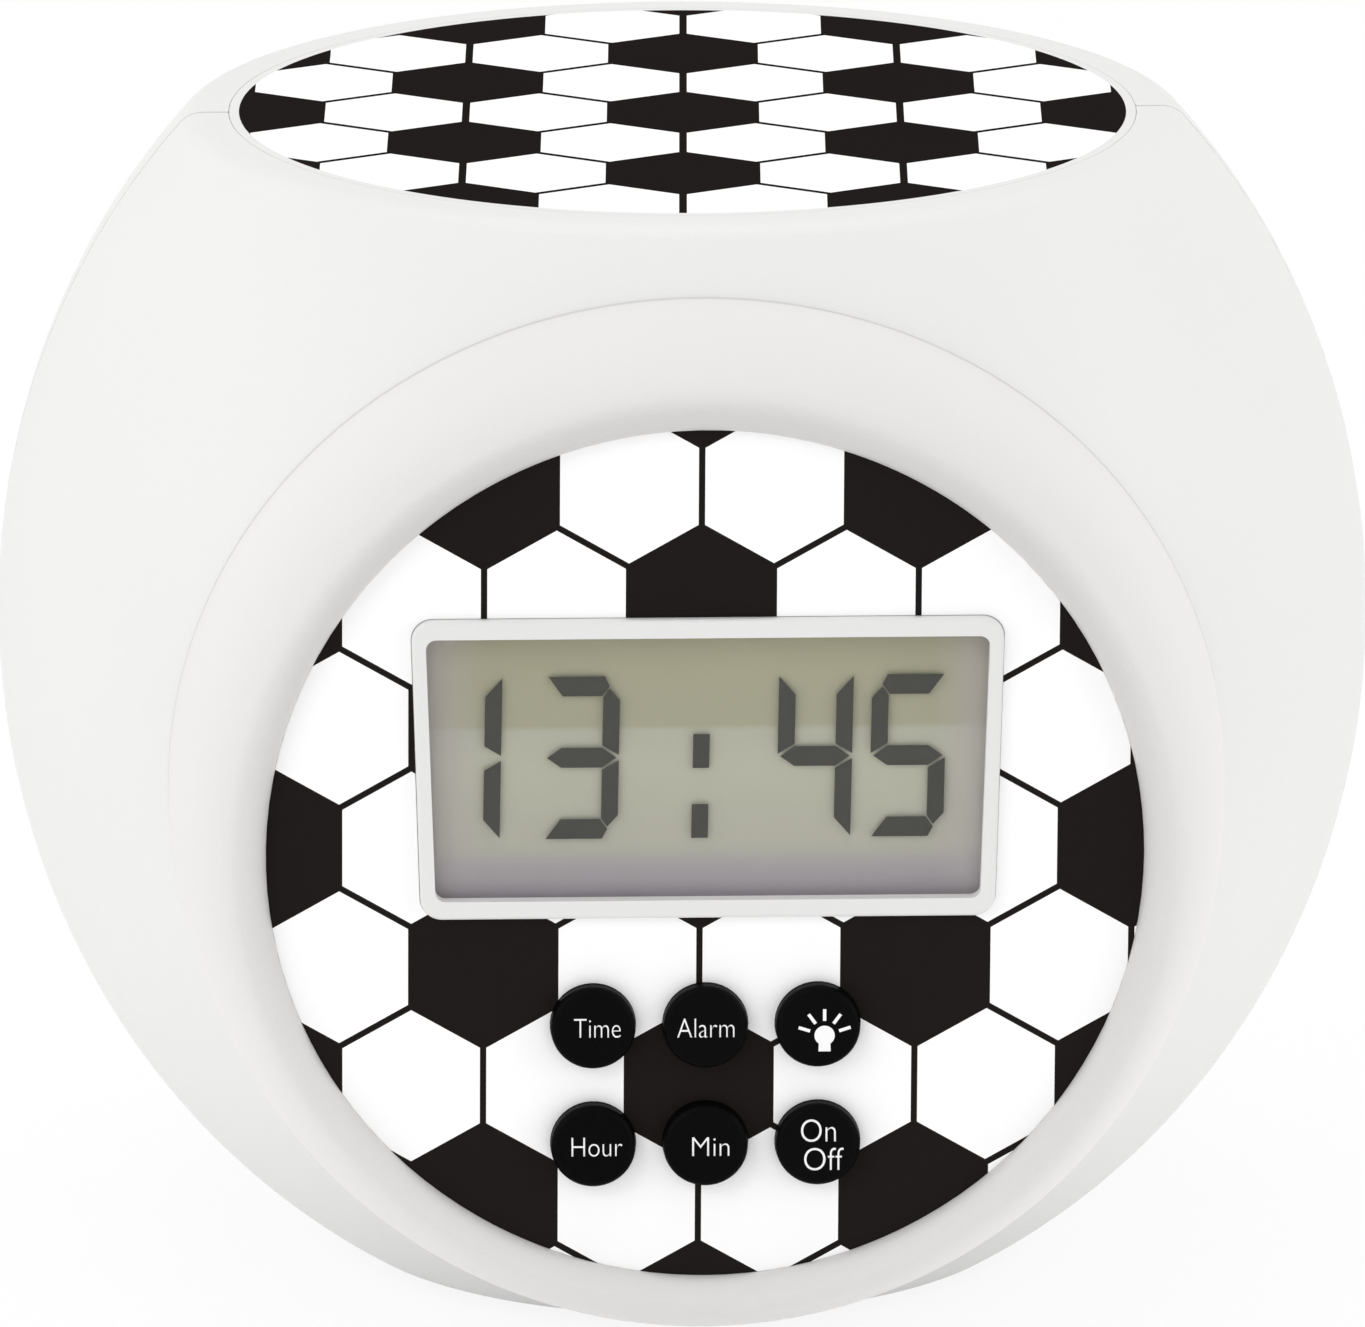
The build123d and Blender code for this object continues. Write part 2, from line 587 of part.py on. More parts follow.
# --- face ring ----------------------------------------------------------------------------
with BuildPart() as face_ring:
    with BuildSketch(RING_SECTION):
        with Locations((RING_CREST_R, RING_ROOT)):
            Ellipse(RING_ROOT_R - RING_CREST_R, RING_CREST - RING_ROOT)
            Ellipse(
                RING_ROOT_R - RING_CREST_R - RING_WALL,
                RING_CREST - RING_ROOT - RING_WALL,
                mode=Mode.SUBTRACT,
            )
        with Locations((RING_CREST_R, 0)):
            Rectangle(
                BALL_R, RING_CREST, align=(Align.MIN, Align.MIN), mode=Mode.INTERSECT
            )
        with BuildSketch(mode=Mode.PRIVATE) as rolled_edge:
            with Locations((RING_CREST_R, DIAL)):
                Ellipse(RING_CREST_R - DIAL_R, RING_ROLL)
            with Locations((RING_CREST_R, DIAL)):
                Rectangle(
                    RING_CREST_R, RING_ROLL, align=(Align.MAX, Align.MIN), mode=Mode.INTERSECT
                )
        add(rolled_edge.sketch)
        with Locations((DIAL_R, DIAL - SKIRT_DEPTH)):
            Rectangle(RING_CREST_R - DIAL_R, SKIRT_DEPTH, align=(Align.MIN, Align.MIN))
        with Locations((LEDGE_R, PLATE_BACK - LEDGE)):
            Rectangle(RING_CREST_R - LEDGE_R, LEDGE, align=(Align.MIN, Align.MIN))
    revolve(axis=DIAL_AXIS)
    rods(dial(RING_SEAT), RING_SPOTS, RING_BOSS_R, RING_BOSS_END - RING_SEAT)
    plate_boss = PLATE_SCREW + REST_GAP - HEAD
    rods(dial(PLATE_BACK), PLATE_SCREW_SPOTS, (DIAL_R - PLATE_GAP - LEDGE_R) / 2, -plate_boss)
    add(ring_envelope.part, mode=Mode.INTERSECT)
    add(ball_seat.part, mode=Mode.SUBTRACT)
    rods(
        dial(RING_SEAT),
        RING_SPOTS,
        SHAFT_R + THREAD_GAP,
        RING_SCREW + REST_GAP,
        mode=Mode.SUBTRACT,
    )
    rods(
        dial(PLATE_BACK), PLATE_SCREW_SPOTS, SHAFT_R + THREAD_GAP, -BOARD_SPACE, mode=Mode.SUBTRACT
    )
finish(face_ring, "face_ring")

# --- dial plate ---------------------------------------------------------------------------
with BuildPart() as face_plate:
    rods(dial(PLATE_BACK), [(0, 0)], DIAL_R - PLATE_GAP, PLATE)
    rods(dial(PLATE_BACK), BOARD_POSTS, BOARD_POST_R, -BOARD_SPACE)
    rods(
        dial(BOARD_FRONT),
        BOARD_POSTS,
        SHAFT_R + THREAD_GAP,
        BOARD_SCREW - BOARD + REST_GAP,
        mode=Mode.SUBTRACT,
    )
    slab(
        dial(PLATE_BACK),
        (BEZEL_W + 2 * BEZEL_FLANGE + 2 * SEAT_GAP, BEZEL_H + 2 * BEZEL_FLANGE + 2 * SEAT_GAP),
        BEZEL_CORNER,
        PLATE,
        middle=(LCD_SHIFT, LCD_UP),
        mode=Mode.SUBTRACT,
    )
    key_holes = list(KEY_SPOTS.values())
    rods(dial(PLATE_BACK), key_holes, KEY_R + KEY_HOLE_GAP, PLATE, mode=Mode.SUBTRACT)
    rods(dial(PLATE_BACK), PLATE_SCREW_SPOTS, SHAFT_R + THREAD_GAP, PLATE, mode=Mode.SUBTRACT)
    rods(dial(PLATE_FRONT), PLATE_SCREW_SPOTS, HEAD_R + THREAD_GAP, -HEAD, mode=Mode.SUBTRACT)
finish(face_plate, "face_plate")

with BuildPart() as plate_screws:
    screws(dial(PLATE_FRONT - HEAD), PLATE_SCREW_SPOTS, PLATE_SCREW)
    rods(dial(PLATE_FRONT), [(0, 0)], DIAL_R, HEAD, mode=Mode.SUBTRACT)
finish(plate_screws, "plate_screws")

with BuildPart() as face_label:
    rods(dial(PLATE_FRONT), [(0, 0)], DIAL_R - PLATE_GAP, LABEL)
    framed(
        dial(PLATE_FRONT),
        BEZEL_W + 2 * SEAT_GAP,
        BEZEL_H + 2 * SEAT_GAP,
        BEZEL_TAPER,
        BEZEL_CORNER,
        LABEL,
        mode=Mode.SUBTRACT,
    )
    rods(dial(PLATE_FRONT), key_holes, KEY_R + KEY_HOLE_GAP, LABEL, mode=Mode.SUBTRACT)
finish(face_label, "face_label")

# --- display ------------------------------------------------------------------------------
with BuildPart() as lcd_bezel:
    slab(
        dial(PLATE_BACK),
        (BEZEL_W + 2 * BEZEL_FLANGE, BEZEL_H + 2 * BEZEL_FLANGE),
        BEZEL_CORNER,
        PLATE,
        middle=(LCD_SHIFT, LCD_UP),
    )
    framed(
        dial(PLATE_FRONT), BEZEL_W, BEZEL_H, BEZEL_TAPER, BEZEL_CORNER, BEZEL_FRONT - PLATE_FRONT
    )
    front_rim = lcd_bezel.faces().filter_by(Axis.Y).sort_by(Axis.Y)[0].edges()
    fillet(front_rim, radius=BEZEL_PROUD / 2)
    slab(
        dial(PLATE_BACK),
        (PANEL_W + 2 * SEAT_GAP, PANEL_H + 2 * SEAT_GAP),
        WINDOW_CORNER,
        COVER_FRONT - PLATE_BACK,
        middle=(LCD_SHIFT, LCD_UP),
        mode=Mode.SUBTRACT,
    )
    framed(
        dial(COVER_FRONT),
        WINDOW_W,
        WINDOW_H,
        BEZEL_TAPER,
        WINDOW_CORNER,
        BEZEL_LIP,
        mode=Mode.SUBTRACT,
    )
finish(lcd_bezel, "lcd_bezel")

with BuildPart() as lcd_window:
    slab(
        dial(PANEL_FRONT), (PANEL_W, PANEL_H), WINDOW_CORNER, COVER, middle=(LCD_SHIFT, LCD_UP)
    )
finish(lcd_window, "lcd_window")

with BuildPart() as lcd_panel:
    slab(dial(PANEL_BACK), (PANEL_W, PANEL_H), WINDOW_CORNER, PANEL, middle=(LCD_SHIFT, LCD_UP))
finish(lcd_panel, "lcd_panel")

with BuildPart() as lcd_backlight:
    slab(
        dial(BOARD_FRONT),
        (LIGHT_W, LIGHT_H),
        WINDOW_CORNER,
        PANEL_BACK - BOARD_FRONT,
        middle=(LCD_SHIFT, LCD_UP),
    )
finish(lcd_backlight, "lcd_backlight")

with BuildPart() as zebra_strips:
    zebra_offset = (PANEL_H - ZEBRA) / 2 - SEAT_GAP
    with BuildSketch(dial(BOARD_FRONT)):
        with Locations((LCD_SHIFT, LCD_UP - zebra_offset), (LCD_SHIFT, LCD_UP + zebra_offset)):
            Rectangle(LIGHT_W, ZEBRA)
    extrude(amount=PANEL_BACK - BOARD_FRONT)
finish(zebra_strips, "zebra_strips")

# --- main board and what it carries -------------------------------------------------------
BOARD_BACK = BOARD_FRONT - BOARD
with BuildPart() as main_board:
    rods(dial(BOARD_BACK), [(0, 0)], BOARD_R, BOARD)
    rods(dial(BOARD_BACK), BOARD_POSTS, SHAFT_R + PASS_GAP, BOARD, mode=Mode.SUBTRACT)
finish(main_board, "main_board")

with BuildPart() as board_screws:
    screws(dial(BOARD_BACK).rotated((180, 0, 0)), [(x, -z) for x, z in BOARD_POSTS], BOARD_SCREW)
finish(board_screws, "board_screws")

with BuildPart() as tact_switches:
    with BuildSketch(dial(BOARD_FRONT)):
        with Locations(*key_holes):
            RectangleRounded(SWITCH, SWITCH, SLIDE_GAP)
    extrude(amount=SWITCH_T)
    switch_bore = KEY_TRAVEL + STEM_ENTRY + REST_GAP
    rods(dial(SWITCH_FRONT), key_holes, STEM_R + SLIDE_GAP, -switch_bore, mode=Mode.SUBTRACT)
finish(tact_switches, "tact_switches")

with BuildPart() as controller_chip:
    rods(dial(BOARD_BACK), [(0, CHIP_UP)], CHIP_R, -CHIP)
    fillet(controller_chip.edges().group_by(Axis.Y)[-1], radius=CHIP_ROUND)
finish(controller_chip, "controller_chip")

with BuildPart() as quartz_crystal:
    can_end = place(CRYSTAL_SPOT[0], BOARD_BACK - CRYSTAL_R, CRYSTAL_SPOT[1] - RING_DROP)
    rods(Plane(can_end, z_dir=(1, 0, 0)), [(0, 0)], CRYSTAL_R, CRYSTAL_L)
finish(quartz_crystal, "quartz_crystal")

# --- keys ---------------------------------------------------------------------------------
for key_name, key_spot in KEY_SPOTS.items():
    with BuildPart() as key:
        rods(dial(KEY_FLANGE_FRONT), [key_spot], KEY_R, DIAL + KEY_PROUD - KEY_FLANGE_FRONT)
        fillet(key.edges().group_by(Axis.Y)[0], radius=KEY_ROUND)
        rods(dial(KEY_FLANGE_FRONT), [key_spot], KEY_FLANGE_R, -KEY_FLANGE)
        rods(dial(STEM_END), [key_spot], STEM_R, KEY_FLANGE_FRONT - KEY_FLANGE - STEM_END)
    finish(key, key_name)

# --- screws of the ring and the shells ----------------------------------------------------
with BuildPart() as ring_screws:
    screws(dial(RING_SEAT).rotated((180, 0, 0)), [(x, -z) for x, z in RING_SPOTS], RING_SCREW)
finish(ring_screws, "ring_screws")

with BuildPart() as shell_screws:
    screws(
        upright(-WELL_DEPTH).rotated((180, 0, 0)),
        [(x, -z) for x, z in SHELL_SPOTS],
        SHELL_SCREW,
        BIG_SHAFT_R,
        BIG_HEAD_R,
        BIG_HEAD,
    )
finish(shell_screws, "shell_screws")

# --- snooze key and the frame under it ----------------------------------------------------
GUIDE_SPOTS = [
    (GUIDE_CIRCLE * cos(radians(turn)), GUIDE_CIRCLE * sin(radians(turn))) for turn in (30, 150, 270)
]
SWITCH_TOP = FRAME_BOTTOM + SWITCH_T
with BuildPart() as snooze_frame:
    rods(level(FRAME_BOTTOM), [(0, 0)], FRAME_R, FRAME)
    guide_end = SHELF_BOTTOM - GUIDE_LENGTH
    rods(level(guide_end), GUIDE_SPOTS, GUIDE_R + SLIDE_GAP + GUIDE_WALL, GUIDE_LENGTH)
    frame_boss = FRAME_SCREW - SHELF - FRAME + REST_GAP + SEAT_GAP
    rods(level(FRAME_BOTTOM), frame_spots, HEAD_R, -frame_boss)
    rods(level(guide_end), GUIDE_SPOTS, GUIDE_R + SLIDE_GAP, GUIDE_LENGTH, mode=Mode.SUBTRACT)
    rods(
        level(SHELF_BOTTOM), frame_spots, SHAFT_R + THREAD_GAP, -FRAME_SCREW, mode=Mode.SUBTRACT
    )
    slab(
        level(FRAME_BOTTOM),
        (SWITCH + 2 * DOOR_GAP, SWITCH + 2 * DOOR_GAP),
        DOOR_GAP,
        FRAME,
        mode=Mode.SUBTRACT,
    )
    board_ears = [(-SNOOZE_BOARD_EAR, 0), (SNOOZE_BOARD_EAR, 0)]
    rods(level(FRAME_BOTTOM), board_ears, SHAFT_R + THREAD_GAP, FRAME, mode=Mode.SUBTRACT)
finish(snooze_frame, "snooze_frame")

with BuildPart() as frame_screws:
    screws(level(SHELF_TOP), frame_spots, FRAME_SCREW)
finish(frame_screws, "frame_screws")

with BuildPart() as snooze_board:
    slab(level(FRAME_BOTTOM), (SNOOZE_BOARD_W, SNOOZE_BOARD_D), BOARD, -BOARD)
    rods(level(FRAME_BOTTOM), board_ears, SHAFT_R + PASS_GAP, -BOARD, mode=Mode.SUBTRACT)
finish(snooze_board, "snooze_board")

with BuildPart() as snooze_board_screws:
    screws(level(FRAME_BOTTOM - BOARD).rotated((180, 0, 0)), board_ears, BOARD + FRAME - REST_GAP)
finish(snooze_board_screws, "snooze_board_screws")

with BuildPart() as snooze_switch:
    slab(level(FRAME_BOTTOM), (SWITCH, SWITCH), SLIDE_GAP, SWITCH_T)
    snooze_bore = SNOOZE_TRAVEL + STEM_ENTRY + REST_GAP
    rods(level(SWITCH_TOP), [(0, 0)], STEM_R + SLIDE_GAP, -snooze_bore, mode=Mode.SUBTRACT)
finish(snooze_switch, "snooze_switch")

with BuildPart() as snooze_button:
    rods(level(RIM_BOTTOM), [(0, 0)], SNOOZE_R, TOP_PLATE - RIM_BOTTOM)
    rods(level(RIM_BOTTOM), [(0, 0)], SNOOZE_R + SNOOZE_RIM, SNOOZE_RIM_T)
    rods(level(RIM_BOTTOM), [(0, 0)], SNOOZE_POCKET_R, POCKET_TOP - RIM_BOTTOM, mode=Mode.SUBTRACT)
    post_end = guide_end + SNOOZE_TRAVEL
    rods(level(post_end), GUIDE_SPOTS, GUIDE_R, POCKET_TOP - post_end)
    stem_end = SWITCH_TOP - STEM_ENTRY
    rods(level(stem_end), [(0, 0)], STEM_R, POCKET_TOP - stem_end)
finish(snooze_button, "snooze_button")

with BuildPart() as snooze_springs:
    spring_r = GUIDE_R + SLIDE_GAP + GUIDE_WALL - SPRING_WIRE
    spring_room = POCKET_TOP - SHELF_BOTTOM - 2 * SPRING_WIRE - 2 * SEAT_GAP
    for spot in GUIDE_SPOTS:
        foot = place(spot[0], -spot[1], SHELF_BOTTOM + SPRING_WIRE + SEAT_GAP)
        coil(foot, (0, 0, 1), spring_room, spring_r, SPRING_WIRE, SPRING_TURNS)
finish(snooze_springs, "snooze_springs")

with BuildPart() as top_label:
    rods(level(TOP_PLATE), [(0, 0)], TOP_LABEL_R, LABEL)
finish(top_label, "top_label")

# --- battery bay --------------------------------------------------------------------------
with BuildPart() as battery_tray:
    rods(level(FLOOR_TOP), [(0, 0)], BASE_R - BAY_FLANGE_GAP, BAY_WALL)
    slab(
        level(FLOOR_TOP + BAY_WALL),
        (BAY_L + 2 * BAY_WALL, BAY_W + 2 * BAY_WALL),
        BAY_CORNER,
        BAY_TOP - FLOOR_TOP - BAY_WALL,
    )
    rods(level(FLOOR_TOP), lobes, LOBE_BOSS_R, LOBE_BOSS)
    slab(level(FLOOR_TOP), (MOUTH_L, MOUTH_W), MOUTH_CORNER, BAY_RISE, mode=Mode.SUBTRACT)
    slab(
        level(BAY_FLOOR),
        (BAY_L, BAY_W),
        BAY_CORNER - BAY_WALL,
        CELL_HEIGHT - BAY_FLOOR,
        mode=Mode.SUBTRACT,
    )
    bay_end = Plane(place(-BAY_L / 2, 0, CELL_HEIGHT), x_dir=(0, 1, 0), z_dir=(1, 0, 0))
    channels = [(y, 0) for y in CELL_SPOTS]
    rods(bay_end, channels, CELL_R + SLIDE_GAP, BAY_L, mode=Mode.SUBTRACT)
    rods(level(FLOOR_TOP), lobes, SHAFT_R + THREAD_GAP, LOBE_BOSS - BAY_WALL, mode=Mode.SUBTRACT)
    rods(level(FLOOR_TOP), tray_spots, SHAFT_R + THREAD_GAP, BAY_WALL, mode=Mode.SUBTRACT)
finish(battery_tray, "battery_tray")

with BuildPart() as tray_screws:
    screws(level(FLOOR_TOP + BAY_WALL), tray_spots, TRAY_SCREW)
finish(tray_screws, "tray_screws")

for number, cell_y in enumerate(CELL_SPOTS, start=1):
    way = 1 if number % 2 else -1
    nub_end = way * (BAY_L / 2 - CONTACT - SEAT_GAP)
    with BuildPart() as cell:
        nub_plane = Plane(
            place(nub_end, -cell_y, CELL_HEIGHT), x_dir=(0, 1, 0), z_dir=(-way, 0, 0)
        )
        rods(nub_plane, [(0, 0)], NUB_R, NUB)
        rods(nub_plane.offset(NUB), [(0, 0)], CELL_R, CELL_L)
        rims = cell.edges().filter_by(GeomType.CIRCLE).filter_by(lambda rim: rim.radius > NUB_R)
        fillet(rims, radius=NUB / 2)
    finish(cell, f"battery_{number}")

with BuildPart() as contact_plates:
    for number, cell_y in enumerate(CELL_SPOTS):
        for way in (-1, 1):
            spot = place(way * (BAY_L / 2 - CONTACT), -cell_y, CELL_HEIGHT)
            with BuildSketch(Plane(spot, x_dir=(0, 1, 0), z_dir=(way, 0, 0))):
                RectangleRounded(CONTACT_SIDE, CONTACT_SIDE, CONTACT)
            extrude(amount=CONTACT)
finish(contact_plates, "contact_plates")

with BuildPart() as contact_springs:
    spring_space = BAY_L - 2 * CONTACT - 2 * SEAT_GAP - NUB - CELL_L - 2 * CONTACT_WIRE
    for number, cell_y in enumerate(CELL_SPOTS, start=1):
        way = -1 if number % 2 else 1
        start_x = way * (BAY_L / 2 - CONTACT - CONTACT_WIRE - SEAT_GAP)
        start = place(start_x, -cell_y, CELL_HEIGHT)
        coil(start, (-way, 0, 0), spring_space, CONTACT_COIL_R, CONTACT_WIRE, SPRING_TURNS)
finish(contact_springs, "contact_springs")

with BuildPart() as battery_door:
    slab(
        level(-BASE_DEPTH),
        (MOUTH_L + 2 * DOOR_LIP, MOUTH_W + 2 * DOOR_LIP),
        MOUTH_CORNER + DOOR_LIP,
        DOOR,
    )
    rods(level(-BASE_DEPTH), lobes, LOBE_R, DOOR)
    rods(level(-BASE_DEPTH), lobes, SHAFT_R + THREAD_GAP, DOOR, mode=Mode.SUBTRACT)
    rods(level(-BASE_DEPTH), lobes, HEAD_R + DOOR_GAP, DOOR_RECESS, mode=Mode.SUBTRACT)
finish(battery_door, "battery_door")

with BuildPart() as door_screws:
    screws(level(DOOR_RECESS - BASE_DEPTH).rotated((180, 0, 0)), lobes, DOOR_SCREW)
finish(door_screws, "door_screws")

with BuildPart() as feet:
    rods(level(-BASE_DEPTH - FOOT_STAND), feet_spots, FOOT_R, FOOT_STAND + FOOT_SINK)
    fillet(feet.edges().group_by(Axis.Z)[0], radius=FOOT_SINK)
finish(feet, "feet")

with BuildPart() as buzzer:
    rods(level(BAY_TOP), [(0, 0)], BUZZER_R, BUZZER)
    rods(level(BAY_TOP + BUZZER), [(0, 0)], SOUND_HOLE_R, -BUZZER / 2, mode=Mode.SUBTRACT)
finish(buzzer, "buzzer")

# --- projector ----------------------------------------------------------------------------
SLIDE_FRONT = -SLIDE_PLACE
SLIDE_BACK = SLIDE_FRONT - SLIDE_T
CONDENSER_SEAT = SLIDE_BACK - STOP_LENGTH
with BuildPart() as projector_tube:
    rods(across_beam(-TUBE_IN), [(0, 0)], TUBE_R, TUBE_IN + TUBE_OUT)
    rods(across_beam(-COLLAR_IN), [(0, 0)], COLLAR_R - COLLAR_GAP, -TUBE_FLANGE)
    ears = [(-LED_EAR_X, 0), (LED_EAR_X, 0)]
    rods(across_beam(-TUBE_IN), ears, LED_EAR_R, LED_SCREW)
    rods(across_beam(SLIDE_BACK), [(0, 0)], TUBE_BORE, BALL_R, mode=Mode.SUBTRACT)
    rods(across_beam(SLIDE_BACK), [(0, 0)], TUBE_STOP_BORE, -STOP_LENGTH, mode=Mode.SUBTRACT)
    rods(across_beam(CONDENSER_SEAT), [(0, 0)], TUBE_BORE, -TUBE_IN, mode=Mode.SUBTRACT)
    rods(
        across_beam(-COLLAR_IN), tube_spots, SHAFT_R + PASS_GAP, -TUBE_FLANGE, mode=Mode.SUBTRACT
    )
    led_pilot = LED_SCREW - LED_BOARD + REST_GAP
    rods(across_beam(-TUBE_IN), ears, SHAFT_R + THREAD_GAP, led_pilot, mode=Mode.SUBTRACT)
finish(projector_tube, "projector_tube")

with BuildPart() as tube_screws:
    flange_back = across_beam(-COLLAR_IN - TUBE_FLANGE).rotated((180, 0, 0))
    screws(flange_back, [(x, -y) for x, y in tube_spots], TUBE_SCREW, head_r=TUBE_SCREW_R - TUBE_R)
finish(tube_screws, "tube_screws")

with BuildPart() as picture_slide:
    rods(across_beam(SLIDE_BACK), [(0, 0)], TUBE_BORE - SEAT_GAP, SLIDE_T)
finish(picture_slide, "picture_slide")

with BuildPart() as slide_ring:
    rods(across_beam(SLIDE_FRONT), [(0, 0)], TUBE_BORE - SEAT_GAP, SLIDE_RING)
    rods(across_beam(SLIDE_FRONT), [(0, 0)], SLIDE_RING_BORE, SLIDE_RING, mode=Mode.SUBTRACT)
finish(slide_ring, "slide_ring")

with BuildPart() as condenser_lens:
    lens(CONDENSER_SEAT - CONDENSER_T, CONDENSER_SEAT, TUBE_BORE - SEAT_GAP, CONDENSER_BULGE, 0)
finish(condenser_lens, "condenser_lens")

with BuildPart() as led_board:
    rods(across_beam(-TUBE_IN), [(0, 0)], TUBE_R, -LED_BOARD)
    slab(across_beam(-TUBE_IN), (2 * (LED_EAR_X + LED_EAR_R), 2 * LED_EAR_R), BOARD, -LED_BOARD)
    rods(across_beam(-TUBE_IN), ears, SHAFT_R + PASS_GAP, -LED_BOARD, mode=Mode.SUBTRACT)
finish(led_board, "led_board")

with BuildPart() as led_board_screws:
    led_board_back = across_beam(-TUBE_IN - LED_BOARD).rotated((180, 0, 0))
    screws(led_board_back, ears, LED_SCREW)
finish(led_board_screws, "led_board_screws")

with BuildPart() as projector_led:
    rods(across_beam(-TUBE_IN), [(0, 0)], LED_R, LED_L)
    fillet(projector_led.faces().sort_by(Axis.Z)[-1].edges(), radius=LED_ROUND)
finish(projector_led, "projector_led")

with BuildPart() as focus_ring:
    ring_back = COLLAR_OUT + REST_GAP
    rods(across_beam(ring_back), [(0, 0)], FOCUS_R, FOCUS_OUT - ring_back)
    rods(across_beam(ring_back), [(0, 0)], FOCUS_BORE, FOCUS_OUT, mode=Mode.SUBTRACT)
    rods(
        across_beam(ring_back),
        [(0, 0)],
        TUBE_R + SLIDE_GAP,
        FOCUS_OUT - FOCUS_LIP - ring_back,
        mode=Mode.SUBTRACT,
    )
    with BuildSketch(across_beam(ring_back)):
        with PolarLocations(FOCUS_R + GROOVE_R / 2, FOCUS_GROOVES, start_angle=180 / FOCUS_GROOVES):
            Circle(GROOVE_R)
    extrude(amount=FOCUS_OUT, mode=Mode.SUBTRACT)
finish(focus_ring, "focus_ring")

CARRIER_BACK = FOCUS_OUT - FOCUS_LIP - REST_GAP - FOCUS_TRAVEL - CARRIER_L
LENS_SEAT = CARRIER_BACK + CARRIER_STEP
with BuildPart() as lens_carrier:
    rods(across_beam(CARRIER_BACK), [(0, 0)], TUBE_BORE - SLIDE_GAP, CARRIER_L)
    rods(across_beam(CARRIER_BACK), [(0, 0)], CARRIER_BORE, CARRIER_L, mode=Mode.SUBTRACT)
    rods(across_beam(LENS_SEAT), [(0, 0)], LENS_R + SEAT_GAP, CARRIER_L, mode=Mode.SUBTRACT)
finish(lens_carrier, "lens_carrier")

with BuildPart() as projection_lens:
    bulge_in_seat = LENS_BULGE * (1 - (CARRIER_BORE / LENS_R) ** 2)
    lens_back = LENS_SEAT + bulge_in_seat + SEAT_GAP
    lens(lens_back, lens_back + LENS_EDGE, LENS_R, LENS_BULGE, LENS_BULGE)
finish(projection_lens, "projection_lens")

# --- leads to the main board: where each pair goes, and the pad that it ends on -----------
LED_BACK = -TUBE_IN - LED_BOARD
SNOOZE_BACK = FRAME_BOTTOM - BOARD
BUZZER_TOP = BAY_TOP + BUZZER
LEADS = {
    "projector_leads": (
        [
            across_beam(LED_BACK).origin,
            across_beam(LED_BACK - 9).origin,
            place(4, 10, -2),
            place(10, 22, -4),
        ],
        (14.0, 6.0),
    ),
    "snooze_leads": (
        [
            place(-6, 5, SNOOZE_BACK),
            place(-6, 5, SNOOZE_BACK - 8),
            place(-8, 16, SNOOZE_BACK - 17),
        ],
        (-9.0, 15.0),
    ),
    "battery_leads": (
        [place(-18, 2, BAY_TOP), place(-18, 2, BAY_TOP + 8), place(-16, 16, BAY_TOP + 15)],
        (-12.0, -18.0),
    ),
    "buzzer_leads": (
        [place(6, 0, BUZZER_TOP), place(6, 0, BUZZER_TOP + 7), place(9, 14, BUZZER_TOP + 12)],
        (12.0, -18.0),
    ),
}
for leads_name, (route, (pad_x, pad_z)) in LEADS.items():
    pad = place(pad_x, BOARD_BACK, pad_z - RING_DROP)
    before_pad = pad + Vector(0, LEAD_RUN, 0)
    with BuildPart() as leads:
        for side in (-LEAD_PAIR, LEAD_PAIR):
            lead([point + Vector(side, 0, 0) for point in (*route, before_pad, pad)])
    finish(leads, leads_name)
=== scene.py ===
"""Dresses the packed projection alarm clock: stickers, display, key legends, finishes, stage."""

import json
from math import cos, pi, radians, sin, sqrt

import bmesh
import bpy
from bpy.props import FloatProperty, FloatVectorProperty, IntProperty, PointerProperty
from mathutils import Euler, Matrix, Vector


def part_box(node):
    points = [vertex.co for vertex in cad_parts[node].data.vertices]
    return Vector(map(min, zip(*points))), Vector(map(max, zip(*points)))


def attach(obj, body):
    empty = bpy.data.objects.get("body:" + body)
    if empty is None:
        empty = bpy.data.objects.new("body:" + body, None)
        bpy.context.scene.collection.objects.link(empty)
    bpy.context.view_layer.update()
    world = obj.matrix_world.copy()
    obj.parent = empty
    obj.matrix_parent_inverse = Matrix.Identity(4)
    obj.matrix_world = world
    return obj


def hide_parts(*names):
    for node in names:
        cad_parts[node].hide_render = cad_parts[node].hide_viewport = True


bl_info = {
    "name": "Ball projection alarm clock",
    "version": (1, 0, 0),
    "blender": (4, 5, 0),
    "location": "3D View > Sidebar > Clock",
    "description": "Stickers, display, legends, finishes and stage of a ball-shaped alarm clock",
    "category": "Object",
}

MM = 0.001
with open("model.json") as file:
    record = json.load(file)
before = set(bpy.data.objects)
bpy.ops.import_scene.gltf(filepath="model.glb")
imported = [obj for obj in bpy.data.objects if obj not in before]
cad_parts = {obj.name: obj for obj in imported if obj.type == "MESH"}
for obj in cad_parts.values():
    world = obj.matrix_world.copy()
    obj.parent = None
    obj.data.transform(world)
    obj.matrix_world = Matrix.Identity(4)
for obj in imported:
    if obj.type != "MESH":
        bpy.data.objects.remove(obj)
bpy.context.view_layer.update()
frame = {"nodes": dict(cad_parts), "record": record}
NODES = frame["nodes"]
PARTING_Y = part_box("front_shell")[1].y


def middle(node):
    """Middle of a node's box."""
    low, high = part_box(node)
    return (low + high) / 2


